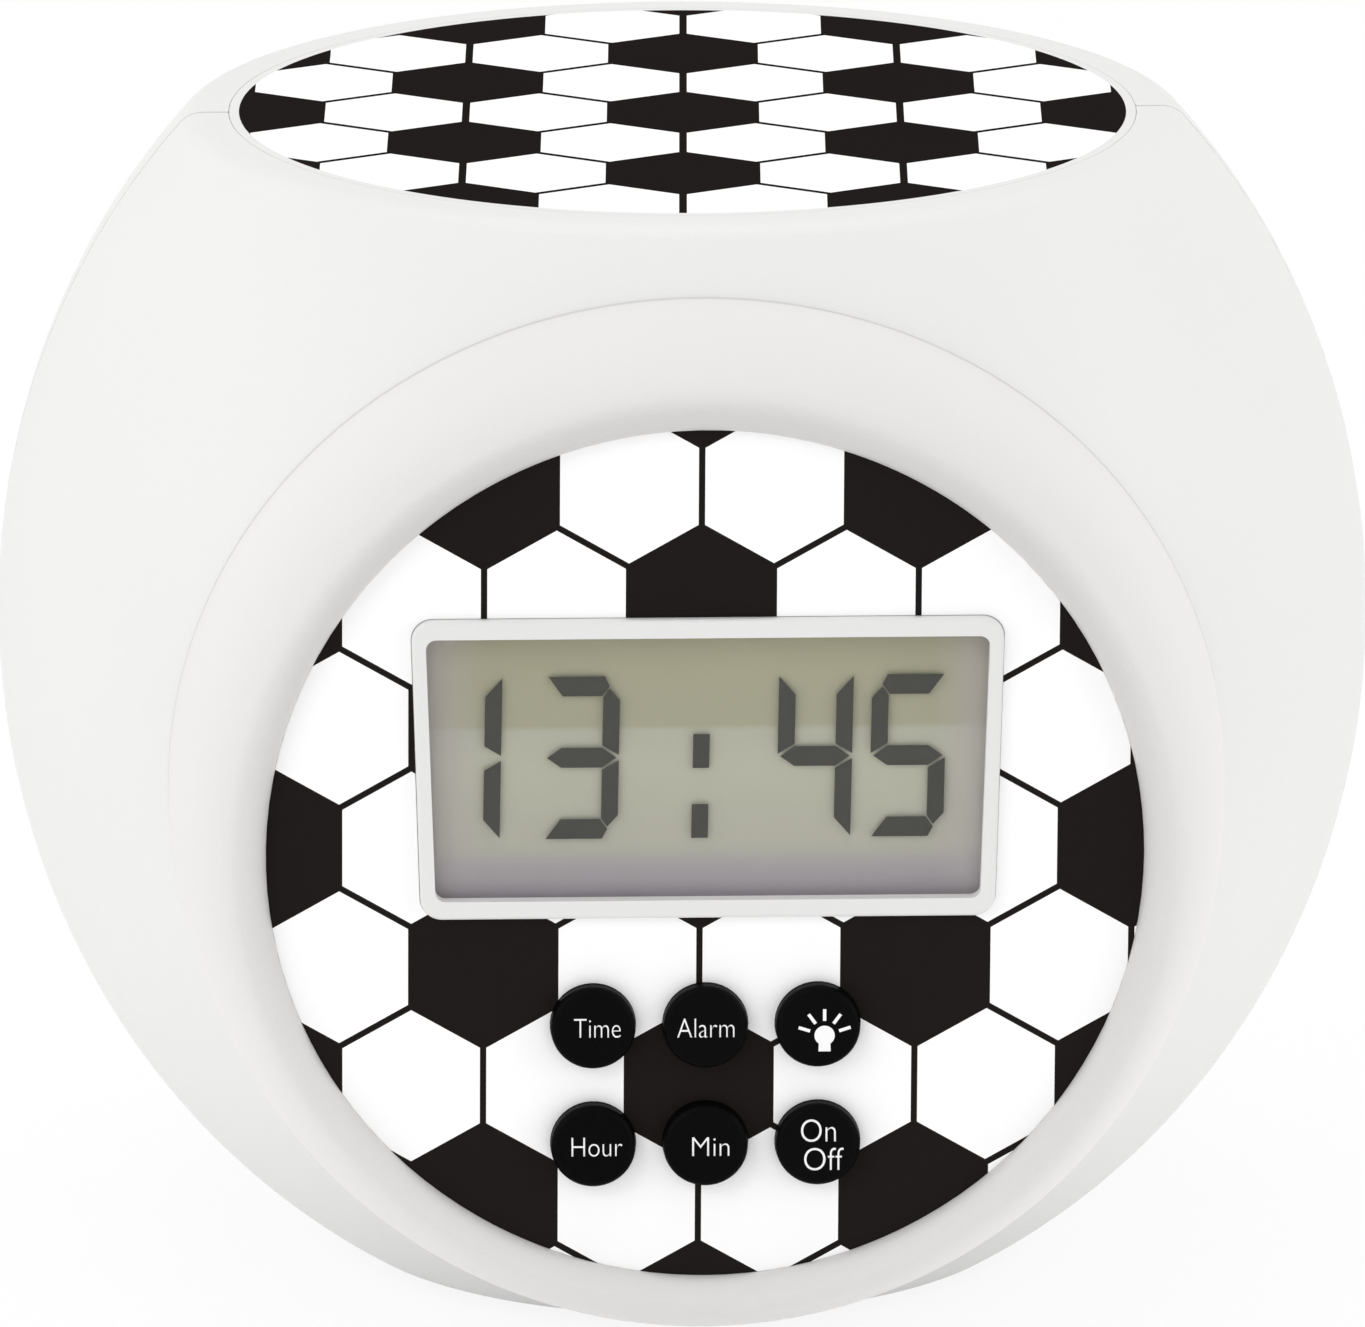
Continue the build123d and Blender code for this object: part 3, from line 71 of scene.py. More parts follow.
# --- sizes and colours that a user would change -------------------------------------------
class StickerSettings(bpy.types.PropertyGroup):
    """Hexagon print of the dial and of the snooze key."""

    dial_pitch: FloatProperty(
        name="Dial pitch", description="Distance between hexagons on the dial", default=11.33 * MM,
        unit="LENGTH", precision=5,
    )
    dial_stretch: FloatProperty(
        name="Dial stretch", description="Height of the dial's hexagons, 1 for regular ones",
        default=0.993,
    )
    dial_radius: FloatProperty(
        name="Dial radius", description="Outer edge of the dial's print", default=34.48 * MM,
        unit="LENGTH", precision=5,
    )
    top_pitch: FloatProperty(
        name="Top pitch", description="Distance between hexagons on the snooze key",
        default=11.75 * MM, unit="LENGTH", precision=5,
    )
    top_stretch: FloatProperty(
        name="Top stretch", description="Depth of the snooze key's hexagons, 1 for regular ones",
        default=1.043,
    )
    top_hem: FloatProperty(
        name="Top hem", description="Outer edge of the plain hem round the snooze key's print",
        default=36.85 * MM, unit="LENGTH", precision=5,
    )
    dial_turn: FloatProperty(
        name="Dial turn", description="Turn of the dial's print, clockwise", default=radians(0.3),
        subtype="ANGLE",
    )
    top_turn: FloatProperty(
        name="Top turn", description="Turn of the snooze key's print, clockwise from above",
        default=radians(1.77), subtype="ANGLE",
    )
    dial_line: FloatProperty(
        name="Dial line", description="Width of the dial's black lines", default=0.5 * MM,
        unit="LENGTH", precision=5,
    )
    top_line: FloatProperty(
        name="Top line", description="Width of the snooze key's black lines", default=0.62 * MM,
        unit="LENGTH", precision=5,
    )
    key_hole: FloatProperty(
        name="Key hole", description="Radius of the print's holes for the keys",
        default=3.4 * MM, unit="LENGTH", precision=5,
    )
    rows: IntProperty(
        name="Rows", description="Rows of hexagons in the print, an odd number", default=13
    )
    columns: IntProperty(
        name="Columns", description="Hexagons in a row, an odd number", default=11
    )
    dial_shift: FloatVectorProperty(
        name="Dial shift", description="From the middle of the dial to a black hexagon's middle",
        default=(-0.32 * MM, 20.2 * MM), size=2, unit="LENGTH", precision=5,
    )
    top_shift: FloatVectorProperty(
        name="Top shift", description="From the middle of the snooze key to a black hexagon's",
        default=(0.0, -1.2 * MM), size=2, unit="LENGTH", precision=5,
    )
    white: FloatVectorProperty(
        name="White", description="Colour of the white cells", default=(0.985, 0.985, 0.985),
        size=3, subtype="COLOR",
    )
    black: FloatVectorProperty(
        name="Black", description="Colour of the black cells and lines",
        default=(0.0153, 0.0123, 0.0116), size=3, subtype="COLOR",
    )


class DisplaySettings(bpy.types.PropertyGroup):
    """Digits, reflector and cover of the display."""

    digit_height: FloatProperty(
        name="Digit height", description="Height of a digit", default=13.2 * MM, unit="LENGTH",
        precision=5,
    )
    digit_width: FloatProperty(
        name="Digit width", description="Width of a digit", default=5.85 * MM, unit="LENGTH",
        precision=5,
    )
    bar: FloatProperty(
        name="Bar", description="Height of a level segment", default=1.6 * MM, unit="LENGTH",
        precision=5,
    )
    post: FloatProperty(
        name="Post", description="Width of an upright segment", default=1.32 * MM, unit="LENGTH",
        precision=5,
    )
    gap: FloatProperty(
        name="Gap", description="Between two segments", default=0.2 * MM, unit="LENGTH",
        precision=5,
    )
    digits_up: FloatProperty(
        name="Digits up", description="Middle of the digits, above the middle of the display",
        default=0.56 * MM, unit="LENGTH", precision=5,
    )
    lean: FloatProperty(
        name="Lean", description="How far a digit leans to the right, for each unit of its height",
        default=0.02,
    )
    cell_depth: FloatProperty(
        name="Cell depth", description="From the segments back to the reflector",
        default=0.32 * MM, unit="LENGTH", precision=5,
    )
    segment: FloatVectorProperty(
        name="Segment", description="Colour of a dark segment", default=(0.04, 0.04, 0.033),
        size=3, subtype="COLOR",
    )


class LegendSettings(bpy.types.PropertyGroup):
    """Printed words and the lamp picture on the keys."""

    word_size: FloatProperty(
        name="Word size", description="Type size of a word", default=2.36 * MM, unit="LENGTH",
        precision=5,
    )
    pair_size: FloatProperty(
        name="Pair size", description="Type size of the two words on one key", default=2.75 * MM,
        unit="LENGTH", precision=5,
    )
    thinning: FloatProperty(
        name="Thinning", description="How much thinner than regular the strokes are, at each side",
        default=0.035 * MM, unit="LENGTH", precision=6,
    )
    relief: FloatProperty(
        name="Relief", description="Thickness of the print", default=0.02 * MM, unit="LENGTH",
        precision=5,
    )


class StageSettings(bpy.types.PropertyGroup):
    """Camera, lamps and floor."""

    distance: FloatProperty(
        name="Distance", description="From the camera to the middle of the ball", default=1.3,
        unit="LENGTH",
    )
    elevation: FloatProperty(
        name="Elevation", description="Camera's angle above level", default=radians(15),
        subtype="ANGLE",
    )
    turn: FloatProperty(
        name="Turn", description="Camera's angle to the left of the dial's axis",
        default=radians(1.77), subtype="ANGLE",
    )
    lens: FloatProperty(name="Lens", description="Focal length in millimetres", default=418.3)
    shift: FloatProperty(
        name="Shift", description="Camera's upright shift, as a share of the picture's width",
        default=-0.0417,
    )
    world: FloatProperty(
        name="World", description="Strength of the even light from all round", default=0.67
    )
    top_lamp: FloatProperty(name="Top lamp", description="Power in watts", default=3.1)
    key_lamp: FloatProperty(
        name="Key lamp", description="Power in watts; it stands to the left, up and in front",
        default=2.2,
    )
    left_lamp: FloatProperty(name="Left lamp", description="Power in watts", default=2.475)
    right_lamp: FloatProperty(name="Right lamp", description="Power in watts", default=3.74)


# --- small helpers ------------------------------------------------------------------------
CORNER_STEPS = 6         # flats that a round corner is made of


def link(piece, body, slot, *nodes):
    """Put a finished piece on its body, with the nodes it stands for; its record slot is not used.
    """
    if piece.name not in bpy.context.scene.collection.objects:
        bpy.context.scene.collection.objects.link(piece)
    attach(piece, body)
    if nodes:
        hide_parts(*nodes)
    return piece


def mesh_piece(name, shape, materials):
    """An object from a bmesh, with its materials."""
    bmesh.ops.recalc_face_normals(shape, faces=shape.faces)
    mesh = bpy.data.meshes.new(name)
    shape.to_mesh(mesh)
    shape.free()
    for material in materials:
        mesh.materials.append(material)
    return bpy.data.objects.new(name, mesh)


def prism(shape, outline, front, depth):
    """A flat plate with this outline of (x, z) points, its front at a y place."""
    face = shape.faces.new([shape.verts.new((x, front, z)) for x, z in outline])
    pushed = bmesh.ops.extrude_face_region(shape, geom=[face])
    moved = [part for part in pushed["geom"] if isinstance(part, bmesh.types.BMVert)]
    bmesh.ops.translate(shape, verts=moved, vec=(0, depth, 0))


def rounded_slab(name, low, high, radius, edge, material):
    """A plate with round corners in the (x, z) plane and lightly rounded edges."""
    shape = bmesh.new()
    step_turn = 90 / CORNER_STEPS
    corners = [
        (high.x - radius, high.z - radius, 0),
        (low.x + radius, high.z - radius, 90),
        (low.x + radius, low.z + radius, 180),
        (high.x - radius, low.z + radius, 270),
    ]
    outline = [
        (x + radius * cos(turn), z + radius * sin(turn))
        for x, z, start in corners
        for turn in (radians(start + step * step_turn) for step in range(CORNER_STEPS + 1))
    ]
    prism(shape, outline, low.y, high.y - low.y)
    piece = mesh_piece(name, shape, [material])
    bpy.context.scene.collection.objects.link(piece)
    bevel = piece.modifiers.new("edge", "BEVEL")
    bevel.width = edge
    bevel.segments = 3
    bevel.limit_method = "ANGLE"
    return piece


# --- shader groups ------------------------------------------------------------------------
def new_group(name, inputs, outputs):
    """A shader node group with named sockets: (name, type, default)."""
    group = bpy.data.node_groups.new(name, "ShaderNodeTree")
    for socket_name, kind, default in inputs:
        socket = group.interface.new_socket(socket_name, in_out="INPUT", socket_type=kind)
        socket.default_value = default
    for socket_name, kind in outputs:
        group.interface.new_socket(socket_name, in_out="OUTPUT", socket_type=kind)
    return group, group.nodes.new("NodeGroupInput"), group.nodes.new("NodeGroupOutput")


def add(tree, kind, **values):
    """A node, with its properties and the plain values of its inputs set by name or number."""
    node = tree.nodes.new(kind)
    for name, value in values.items():
        if name == "inputs":
            for key, plain in value.items():
                node.inputs[key].default_value = plain
        else:
            setattr(node, name, value)
    return node


def moulded_grain():
    """Fine even grain of a moulded or painted surface: a little shade, roughness and relief."""
    group, given, made = new_group(
        "moulded_grain",
        [
            ("Colour", "NodeSocketColor", (0.8, 0.8, 0.8, 1)),
            ("Shade", "NodeSocketFloat", 0.02),
            ("Roughness", "NodeSocketFloat", 0.5),
            ("Grain Size", "NodeSocketFloat", 0.3 * MM),
            ("Grain Depth", "NodeSocketFloat", 0.01 * MM),
        ],
        [
            ("Colour", "NodeSocketColor"),
            ("Roughness", "NodeSocketFloat"),
            ("Normal", "NodeSocketVector"),
        ],
    )
    place = add(group, "ShaderNodeTexCoord")
    density = add(group, "ShaderNodeMath", operation="DIVIDE", inputs={0: 1.0})
    grain = add(group, "ShaderNodeTexNoise", inputs={"Detail": 3.0, "Roughness": 0.65})
    cloud = add(group, "ShaderNodeTexNoise", inputs={"Scale": 45.0, "Detail": 2.0})
    swing = add(group, "ShaderNodeMath", operation="ADD")
    centred = add(group, "ShaderNodeMath", operation="SUBTRACT", inputs={1: 1.0})
    amount = add(group, "ShaderNodeMath", operation="MULTIPLY")
    level = add(group, "ShaderNodeMath", operation="ADD", inputs={1: 1.0})
    tint = add(group, "ShaderNodeVectorMath", operation="SCALE")
    dull = add(group, "ShaderNodeMath", operation="MULTIPLY_ADD", inputs={1: 0.12})
    relief = add(group, "ShaderNodeBump", inputs={"Strength": 1.0})
    join = group.links.new
    join(given.outputs["Grain Size"], density.inputs[1])
    join(place.outputs["Object"], grain.inputs["Vector"])
    join(density.outputs[0], grain.inputs["Scale"])
    join(place.outputs["Object"], cloud.inputs["Vector"])
    join(grain.outputs["Fac"], swing.inputs[0])
    join(cloud.outputs["Fac"], swing.inputs[1])
    join(swing.outputs[0], centred.inputs[0])
    join(centred.outputs[0], amount.inputs[0])
    join(given.outputs["Shade"], amount.inputs[1])
    join(amount.outputs[0], level.inputs[0])
    join(given.outputs["Colour"], tint.inputs[0])
    join(level.outputs[0], tint.inputs["Scale"])
    join(centred.outputs[0], dull.inputs[0])
    join(given.outputs["Roughness"], dull.inputs[2])
    join(grain.outputs["Fac"], relief.inputs["Height"])
    join(given.outputs["Grain Depth"], relief.inputs["Distance"])
    join(tint.outputs[0], made.inputs["Colour"])
    join(dull.outputs[0], made.inputs["Roughness"])
    join(relief.outputs[0], made.inputs["Normal"])
    return group


def drawn_lines():
    """Long fine scratches of drawn or brushed metal, along one direction of the piece."""
    group, given, made = new_group(
        "drawn_lines",
        [
            ("Colour", "NodeSocketColor", (0.7, 0.7, 0.7, 1)),
            ("Roughness", "NodeSocketFloat", 0.3),
            ("Stretch", "NodeSocketVector", (12000.0, 12000.0, 400.0)),
        ],
        [
            ("Colour", "NodeSocketColor"),
            ("Roughness", "NodeSocketFloat"),
            ("Normal", "NodeSocketVector"),
        ],
    )
    place = add(group, "ShaderNodeTexCoord")
    stretch = add(group, "ShaderNodeVectorMath", operation="MULTIPLY")
    lines = add(group, "ShaderNodeTexNoise", inputs={"Scale": 1.0, "Detail": 2.0})
    shade = add(group, "ShaderNodeMath", operation="MULTIPLY_ADD", inputs={1: 0.3, 2: 0.85})
    tint = add(group, "ShaderNodeVectorMath", operation="SCALE")
    dull = add(group, "ShaderNodeMath", operation="MULTIPLY_ADD", inputs={1: 0.2})
    relief = add(group, "ShaderNodeBump", inputs={"Strength": 0.6, "Distance": 0.004 * MM})
    join = group.links.new
    join(place.outputs["Object"], stretch.inputs[0])
    join(given.outputs["Stretch"], stretch.inputs[1])
    join(stretch.outputs[0], lines.inputs["Vector"])
    join(lines.outputs["Fac"], shade.inputs[0])
    join(given.outputs["Colour"], tint.inputs[0])
    join(shade.outputs[0], tint.inputs["Scale"])
    join(lines.outputs["Fac"], dull.inputs[0])
    join(given.outputs["Roughness"], dull.inputs[2])
    join(lines.outputs["Fac"], relief.inputs["Height"])
    join(tint.outputs[0], made.inputs["Colour"])
    join(dull.outputs[0], made.inputs["Roughness"])
    join(relief.outputs[0], made.inputs["Normal"])
    return group


def distance_shade():
    """Painted shade, darker near a middle: the colour times Shade at Near, and unchanged from Far
    outwards.
    """
    group, given, made = new_group(
        "distance_shade",
        [
            ("Colour", "NodeSocketColor", (0.8, 0.8, 0.8, 1)),
            ("Middle", "NodeSocketVector", (0.0, 0.0, 0.0)),
            ("Scale", "NodeSocketVector", (1.0, 1.0, 1.0)),
            ("Near", "NodeSocketFloat", 0.0),
            ("Far", "NodeSocketFloat", 1.0),
            ("Shade", "NodeSocketFloat", 0.5),
        ],
        [("Colour", "NodeSocketColor")],
    )
    place = add(group, "ShaderNodeTexCoord")
    away = add(group, "ShaderNodeVectorMath", operation="SUBTRACT")
    scaled = add(group, "ShaderNodeVectorMath", operation="MULTIPLY")
    length = add(group, "ShaderNodeVectorMath", operation="LENGTH")
    level = add(group, "ShaderNodeMapRange", interpolation_type="SMOOTHSTEP")
    tint = add(group, "ShaderNodeVectorMath", operation="SCALE")
    join = group.links.new
    join(place.outputs["Object"], away.inputs[0])
    join(given.outputs["Middle"], away.inputs[1])
    join(away.outputs[0], scaled.inputs[0])
    join(given.outputs["Scale"], scaled.inputs[1])
    join(scaled.outputs[0], length.inputs[0])
    join(length.outputs["Value"], level.inputs["Value"])
    join(given.outputs["Near"], level.inputs["From Min"])
    join(given.outputs["Far"], level.inputs["From Max"])
    join(given.outputs["Shade"], level.inputs["To Min"])
    join(given.outputs["Colour"], tint.inputs[0])
    join(level.outputs["Result"], tint.inputs["Scale"])
    join(tint.outputs[0], made.inputs["Colour"])
    return group


def group_of(maker):
    """A node group by its maker's name, built once."""
    return bpy.data.node_groups.get(maker.__name__) or maker()


def new_material(name):
    """An empty node material with its Principled shader."""
    material = bpy.data.materials.new(name)
    material.use_nodes = True
    return material, material.node_tree, material.node_tree.nodes["Principled BSDF"]


def moulded(name, colour, roughness=0.5, shade=0.03, grain=0.3, depth=0.01, **plain):
    """A plastic, rubber or paint finish. Grain and depth are in millimetres."""
    material, tree, shader = new_material(name)
    grained = add(tree, "ShaderNodeGroup", node_tree=group_of(moulded_grain))
    grained.inputs["Colour"].default_value = (*colour, 1)
    grained.inputs["Shade"].default_value = shade
    grained.inputs["Roughness"].default_value = roughness
    grained.inputs["Grain Size"].default_value = grain * MM
    grained.inputs["Grain Depth"].default_value = depth * MM
    tree.links.new(grained.outputs["Colour"], shader.inputs["Base Color"])
    tree.links.new(grained.outputs["Roughness"], shader.inputs["Roughness"])
    tree.links.new(grained.outputs["Normal"], shader.inputs["Normal"])
    for socket, value in plain.items():
        shader.inputs[socket.replace("_", " ")].default_value = value
    return material


def metal(name, colour, roughness=0.3, stretch=(12000.0, 12000.0, 400.0)):
    """A plain or plated metal with drawn lines."""
    material, tree, shader = new_material(name)
    lines = add(tree, "ShaderNodeGroup", node_tree=group_of(drawn_lines))
    lines.inputs["Colour"].default_value = (*colour, 1)
    lines.inputs["Roughness"].default_value = roughness
    lines.inputs["Stretch"].default_value = stretch
    shader.inputs["Metallic"].default_value = 1.0
    tree.links.new(lines.outputs["Colour"], shader.inputs["Base Color"])
    tree.links.new(lines.outputs["Roughness"], shader.inputs["Roughness"])
    tree.links.new(lines.outputs["Normal"], shader.inputs["Normal"])
    return material


def clear(name, colour, roughness=0.04, ior=1.5):
    """A clear lens or lamp body."""
    material = moulded(name, colour, roughness, shade=0.0, grain=2.0, depth=0.0005)
    shader = material.node_tree.nodes["Principled BSDF"]
    shader.inputs["Transmission Weight"].default_value = 1.0
    shader.inputs["IOR"].default_value = ior
    return material


BALL_REACH = (56 * MM, 56 * MM, 60 * MM)     # from the ball's middle to its skin, each way
DIAL_DROP = 4.7 * MM                         # middle of the dial, below the middle of the ball


def ring_finish(colour):
    """The ring's plastic with painted shade: darker in the crease at its foot and towards its inner
    edge.
    """
    material = moulded("ring plastic", colour, 0.5, shade=0.035, grain=0.34, depth=0.018)
    tree = material.node_tree
    dial = middle("face_label")
    ball = Vector((0, PARTING_Y, dial.z + DIAL_DROP))
    to_skin = [1 / reach for reach in BALL_REACH]
    from_axis = (1, 0, 1)
    above = Vector((0, 0, 1.2 * MM))      # painted shade: the inner edge is darker above than below
    # each painted shade: its middle and scale, where it is fullest, where it ends, and how dark it
    # is
    painted_shades = (
        # painted shade in the crease where the ring meets the ball, a thin band and then a wide one
        (ball, to_skin, 1.0, 1.010, 0.70),
        (ball, to_skin, 1.0, 1.04, 0.975),
        # painted shade towards the ring's inner edge, a narrow band and then a wide one
        (dial + above, from_axis, 34.4 * MM, 36.4 * MM, 0.90),
        (dial + above, from_axis, 35.0 * MM, 42.5 * MM, 0.885),
    )
    before = None
    for centre, scale, near, far, shade in painted_shades:
        step = add(tree, "ShaderNodeGroup", node_tree=group_of(distance_shade))
        if before:
            tree.links.new(before.outputs[0], step.inputs["Colour"])
        else:
            step.inputs["Colour"].default_value = (*colour, 1)
        step.inputs["Middle"].default_value = centre
        step.inputs["Scale"].default_value = scale
        for name, value in (("Near", near), ("Far", far), ("Shade", shade)):
            step.inputs[name].default_value = value
        before = step
    grained = next(node for node in tree.nodes if "Grain Size" in node.inputs)
    tree.links.new(before.outputs[0], grained.inputs["Colour"])
    return material


FINISHES = {
    "shell_white": lambda: moulded(
        "shell plastic", (0.765, 0.763, 0.757), 0.52, shade=0.03, grain=0.34, depth=0.016
    ),
    "ring_white": lambda: ring_finish((0.775, 0.758, 0.751)),
    "dial_print": lambda: moulded("sticker film", (0.93, 0.93, 0.93), 0.35, grain=0.6, depth=0.002),
    "inner_white": lambda: moulded("inner plastic", (0.78, 0.78, 0.77), 0.5),
    "key_black": lambda: moulded(
        "key rubber", (0.0025, 0.0025, 0.0026), 0.4, shade=0.9, grain=0.2, depth=0.02,
        Specular_IOR_Level=0.03,
    ),
    "clear_cover": lambda: clear("cover glass", (0.97, 0.98, 0.97)),
    "lcd_grey": lambda: moulded("display back", (0.40, 0.40, 0.33), 0.4),
    "light_guide": lambda: moulded("milky light block", (0.90, 0.92, 0.88), 0.3),
    "zebra": lambda: moulded("zebra rubber", (0.08, 0.08, 0.09), 0.6),
    "board_green": lambda: moulded(
        "board lacquer", (0.015, 0.11, 0.035), 0.25, shade=0.1, grain=0.8
    ),
    "resin_black": lambda: moulded("chip resin", (0.012, 0.012, 0.012), 0.2),
    "steel": lambda: metal("zinc-plated steel", (0.62, 0.62, 0.63)),
    "spring_steel": lambda: metal("nickel-plated spring", (0.70, 0.69, 0.66), 0.22),
    "cell": lambda: metal("cell sleeve", (0.10, 0.11, 0.13), 0.35, (400.0, 12000.0, 12000.0)),
    "foot_rubber": lambda: moulded("foot rubber", (0.60, 0.60, 0.58), 0.75, grain=0.2, depth=0.02),
    "brass": lambda: metal("buzzer brass", (0.70, 0.50, 0.22)),
    "lens_glass": lambda: clear("lens glass", (0.97, 0.98, 1.0), 0.02),
    "slide_film": lambda: moulded("slide film", (0.012, 0.012, 0.015), 0.2),
    "led_clear": lambda: clear("lamp epoxy", (0.98, 0.98, 0.92), 0.1),
    "switch_black": lambda: moulded("switch plastic", (0.02, 0.02, 0.02), 0.45),
    "lead_red": lambda: moulded("lead sleeve", (0.45, 0.02, 0.015), 0.4),
}


class CLOCK_OT_finishes(bpy.types.Operator):
    """Give every carried-over piece its finish"""

    bl_idname = "clock.finishes"
    bl_label = "Finishes"

    def execute(self, context):
        made = {slot: make() for slot, make in FINISHES.items()}
        for entry in frame["record"]["subparts"]:
            mesh = NODES[entry["node"]].data
            mesh.materials.clear()
            mesh.materials.append(made[entry["material_slot"]])
        return {"FINISHED"}


# --- hexagon stickers ---------------------------------------------------------------------
KEYS = ("time", "alarm", "light", "hour", "minute", "on_off")
DIAL_HOLE = 3.55 * MM    # radius of the plain sticker's holes for the keys
HEM_SIDES = 180


def hexagon_sticker():
    """Geometry nodes that part a plain sticker into white hexagons and the black round them."""
    tree = bpy.data.node_groups.new("hexagon_sticker", "GeometryNodeTree")
    for name, kind in (
        ("Sticker", "NodeSocketGeometry"),
        ("Pitch", "NodeSocketFloat"),
        ("Line", "NodeSocketFloat"),
        ("Row Stretch", "NodeSocketFloat"),
        ("Depth", "NodeSocketFloat"),
        ("Columns", "NodeSocketInt"),
        ("Rows", "NodeSocketInt"),
        ("Centre", "NodeSocketVector"),
        ("Turn", "NodeSocketRotation"),
        ("White", "NodeSocketMaterial"),
        ("Black", "NodeSocketMaterial"),
    ):
        tree.interface.new_socket(name, in_out="INPUT", socket_type=kind)
    tree.interface.new_socket("Print", in_out="OUTPUT", socket_type="NodeSocketGeometry")
    given = tree.nodes.new("NodeGroupInput")
    made = tree.nodes.new("NodeGroupOutput")
    join = tree.links.new

    def maths(operation, first, second):
        node = add(tree, "ShaderNodeMath", operation=operation)
        for socket, value in zip(node.inputs, (first, second)):
            if isinstance(value, bpy.types.NodeSocket):
                join(value, socket)
            else:
                socket.default_value = value
        return node.outputs[0]

    pitch = given.outputs["Pitch"]
    columns = given.outputs["Columns"]
    rows = given.outputs["Rows"]
    row_pitch = maths("MULTIPLY", pitch, sqrt(3) / 2)
    last_column = maths("SUBTRACT", columns, 1.0)
    last_row = maths("SUBTRACT", rows, 1.0)
    grid = add(tree, "GeometryNodeMeshGrid")
    join(maths("MULTIPLY", pitch, last_column), grid.inputs["Size X"])
    join(maths("MULTIPLY", row_pitch, last_row), grid.inputs["Size Y"])
    join(columns, grid.inputs["Vertices X"])
    join(rows, grid.inputs["Vertices Y"])

    index = add(tree, "GeometryNodeInputIndex").outputs[0]
    row = maths("MODULO", index, rows)
    column = maths("FLOOR", maths("DIVIDE", maths("ADD", index, 0.5), rows), 0.0)
    odd = maths("MODULO", row, 2.0)
    # every third cell of a row is black, and the odd rows' black cells lie between those beside
    from_middle = maths("SUBTRACT", column, maths("DIVIDE", last_column, 2.0))
    third = maths("FLOORED_MODULO", maths("SUBTRACT", from_middle, odd), 3.0)
    black = maths("LESS_THAN", third, 0.5)

    aside = add(tree, "ShaderNodeCombineXYZ")
    join(maths("MULTIPLY", maths("MULTIPLY", odd, pitch), 0.5), aside.inputs["X"])
    shifted = add(tree, "GeometryNodeSetPosition")
    join(grid.outputs["Mesh"], shifted.inputs["Geometry"])
    join(aside.outputs[0], shifted.inputs["Offset"])
    whites = add(tree, "GeometryNodeDeleteGeometry", domain="POINT")
    join(shifted.outputs[0], whites.inputs["Geometry"])
    join(black, whites.inputs["Selection"])

    cell = add(tree, "GeometryNodeMeshCylinder", inputs={"Vertices": 6})
    cell_width = maths("SUBTRACT", pitch, given.outputs["Line"])
    join(maths("DIVIDE", cell_width, sqrt(3)), cell.inputs["Radius"])
    join(given.outputs["Depth"], cell.inputs["Depth"])
    cells = add(tree, "GeometryNodeInstanceOnPoints")
    join(whites.outputs[0], cells.inputs["Points"])
    join(cell.outputs["Mesh"], cells.inputs["Instance"])
    cells.inputs["Rotation"].default_value = Euler((0, 0, radians(30)))
    placed = add(tree, "GeometryNodeTransform")
    join(cells.outputs[0], placed.inputs["Geometry"])
    stretch = add(tree, "ShaderNodeCombineXYZ", inputs={"X": 1.0, "Z": 1.0})
    join(given.outputs["Row Stretch"], stretch.inputs["Y"])
    join(stretch.outputs[0], placed.inputs["Scale"])
    join(given.outputs["Centre"], placed.inputs["Translation"])
    join(given.outputs["Turn"], placed.inputs["Rotation"])
    real = add(tree, "GeometryNodeRealizeInstances")
    join(placed.outputs[0], real.inputs[0])

    whole = add(tree, "GeometryNodeMergeByDistance", inputs={"Distance": 0.001 * MM})
    join(given.outputs["Sticker"], whole.inputs["Geometry"])
    inside = add(tree, "GeometryNodeMeshBoolean", operation="INTERSECT", solver="EXACT")
    join(whole.outputs[0], inside.inputs["Mesh 2"])
    join(real.outputs[0], inside.inputs["Mesh 2"])
    around = add(tree, "GeometryNodeMeshBoolean", operation="DIFFERENCE", solver="EXACT")
    join(whole.outputs[0], around.inputs["Mesh 1"])
    join(real.outputs[0], around.inputs["Mesh 2"])
    both = add(tree, "GeometryNodeJoinGeometry")
    for part, colour in ((inside, "White"), (around, "Black")):
        painted = add(tree, "GeometryNodeSetMaterial")
        join(part.outputs["Mesh"], painted.inputs["Geometry"])
        join(given.outputs[colour], painted.inputs["Material"])
        join(painted.outputs[0], both.inputs[0])
    join(both.outputs[0], made.inputs["Print"])
    return tree


def socket_id(tree, name):
    """Identifier of a tree's named input."""
    return next(
        item.identifier
        for item in tree.interface.items_tree
        if item.item_type == "SOCKET" and item.in_out == "INPUT" and item.name == name
    )


def printed_sticker(name, node, body, tree, edges, values):
    """A printed sticker in place of a plain one.

    Each round edge (middle, plain radius, radius) of the plain one is moved to its new radius.
    """
    source = bpy.data.objects.new(name + "_plain", NODES[node].data.copy())
    for vertex in source.data.vertices:
        for centre, plain_radius, radius in edges:
            out = vertex.co - centre
            out.y = 0
            if abs(out.length - plain_radius) < 0.02 * MM:
                vertex.co += out * (radius / plain_radius - 1)
    bpy.context.scene.collection.objects.link(source)
    modifier = source.modifiers.new("print", "NODES")
    modifier.node_group = tree
    for label, value in values.items():
        modifier[socket_id(tree, label)] = value
    view_layer = bpy.context.view_layer
    view_layer.update()
    graph = bpy.context.evaluated_depsgraph_get()
    mesh = bpy.data.meshes.new_from_object(source.evaluated_get(graph))
    bpy.data.objects.remove(source)
    piece = bpy.data.objects.new(name, mesh)
    return link(piece, body, "dial_print", node)


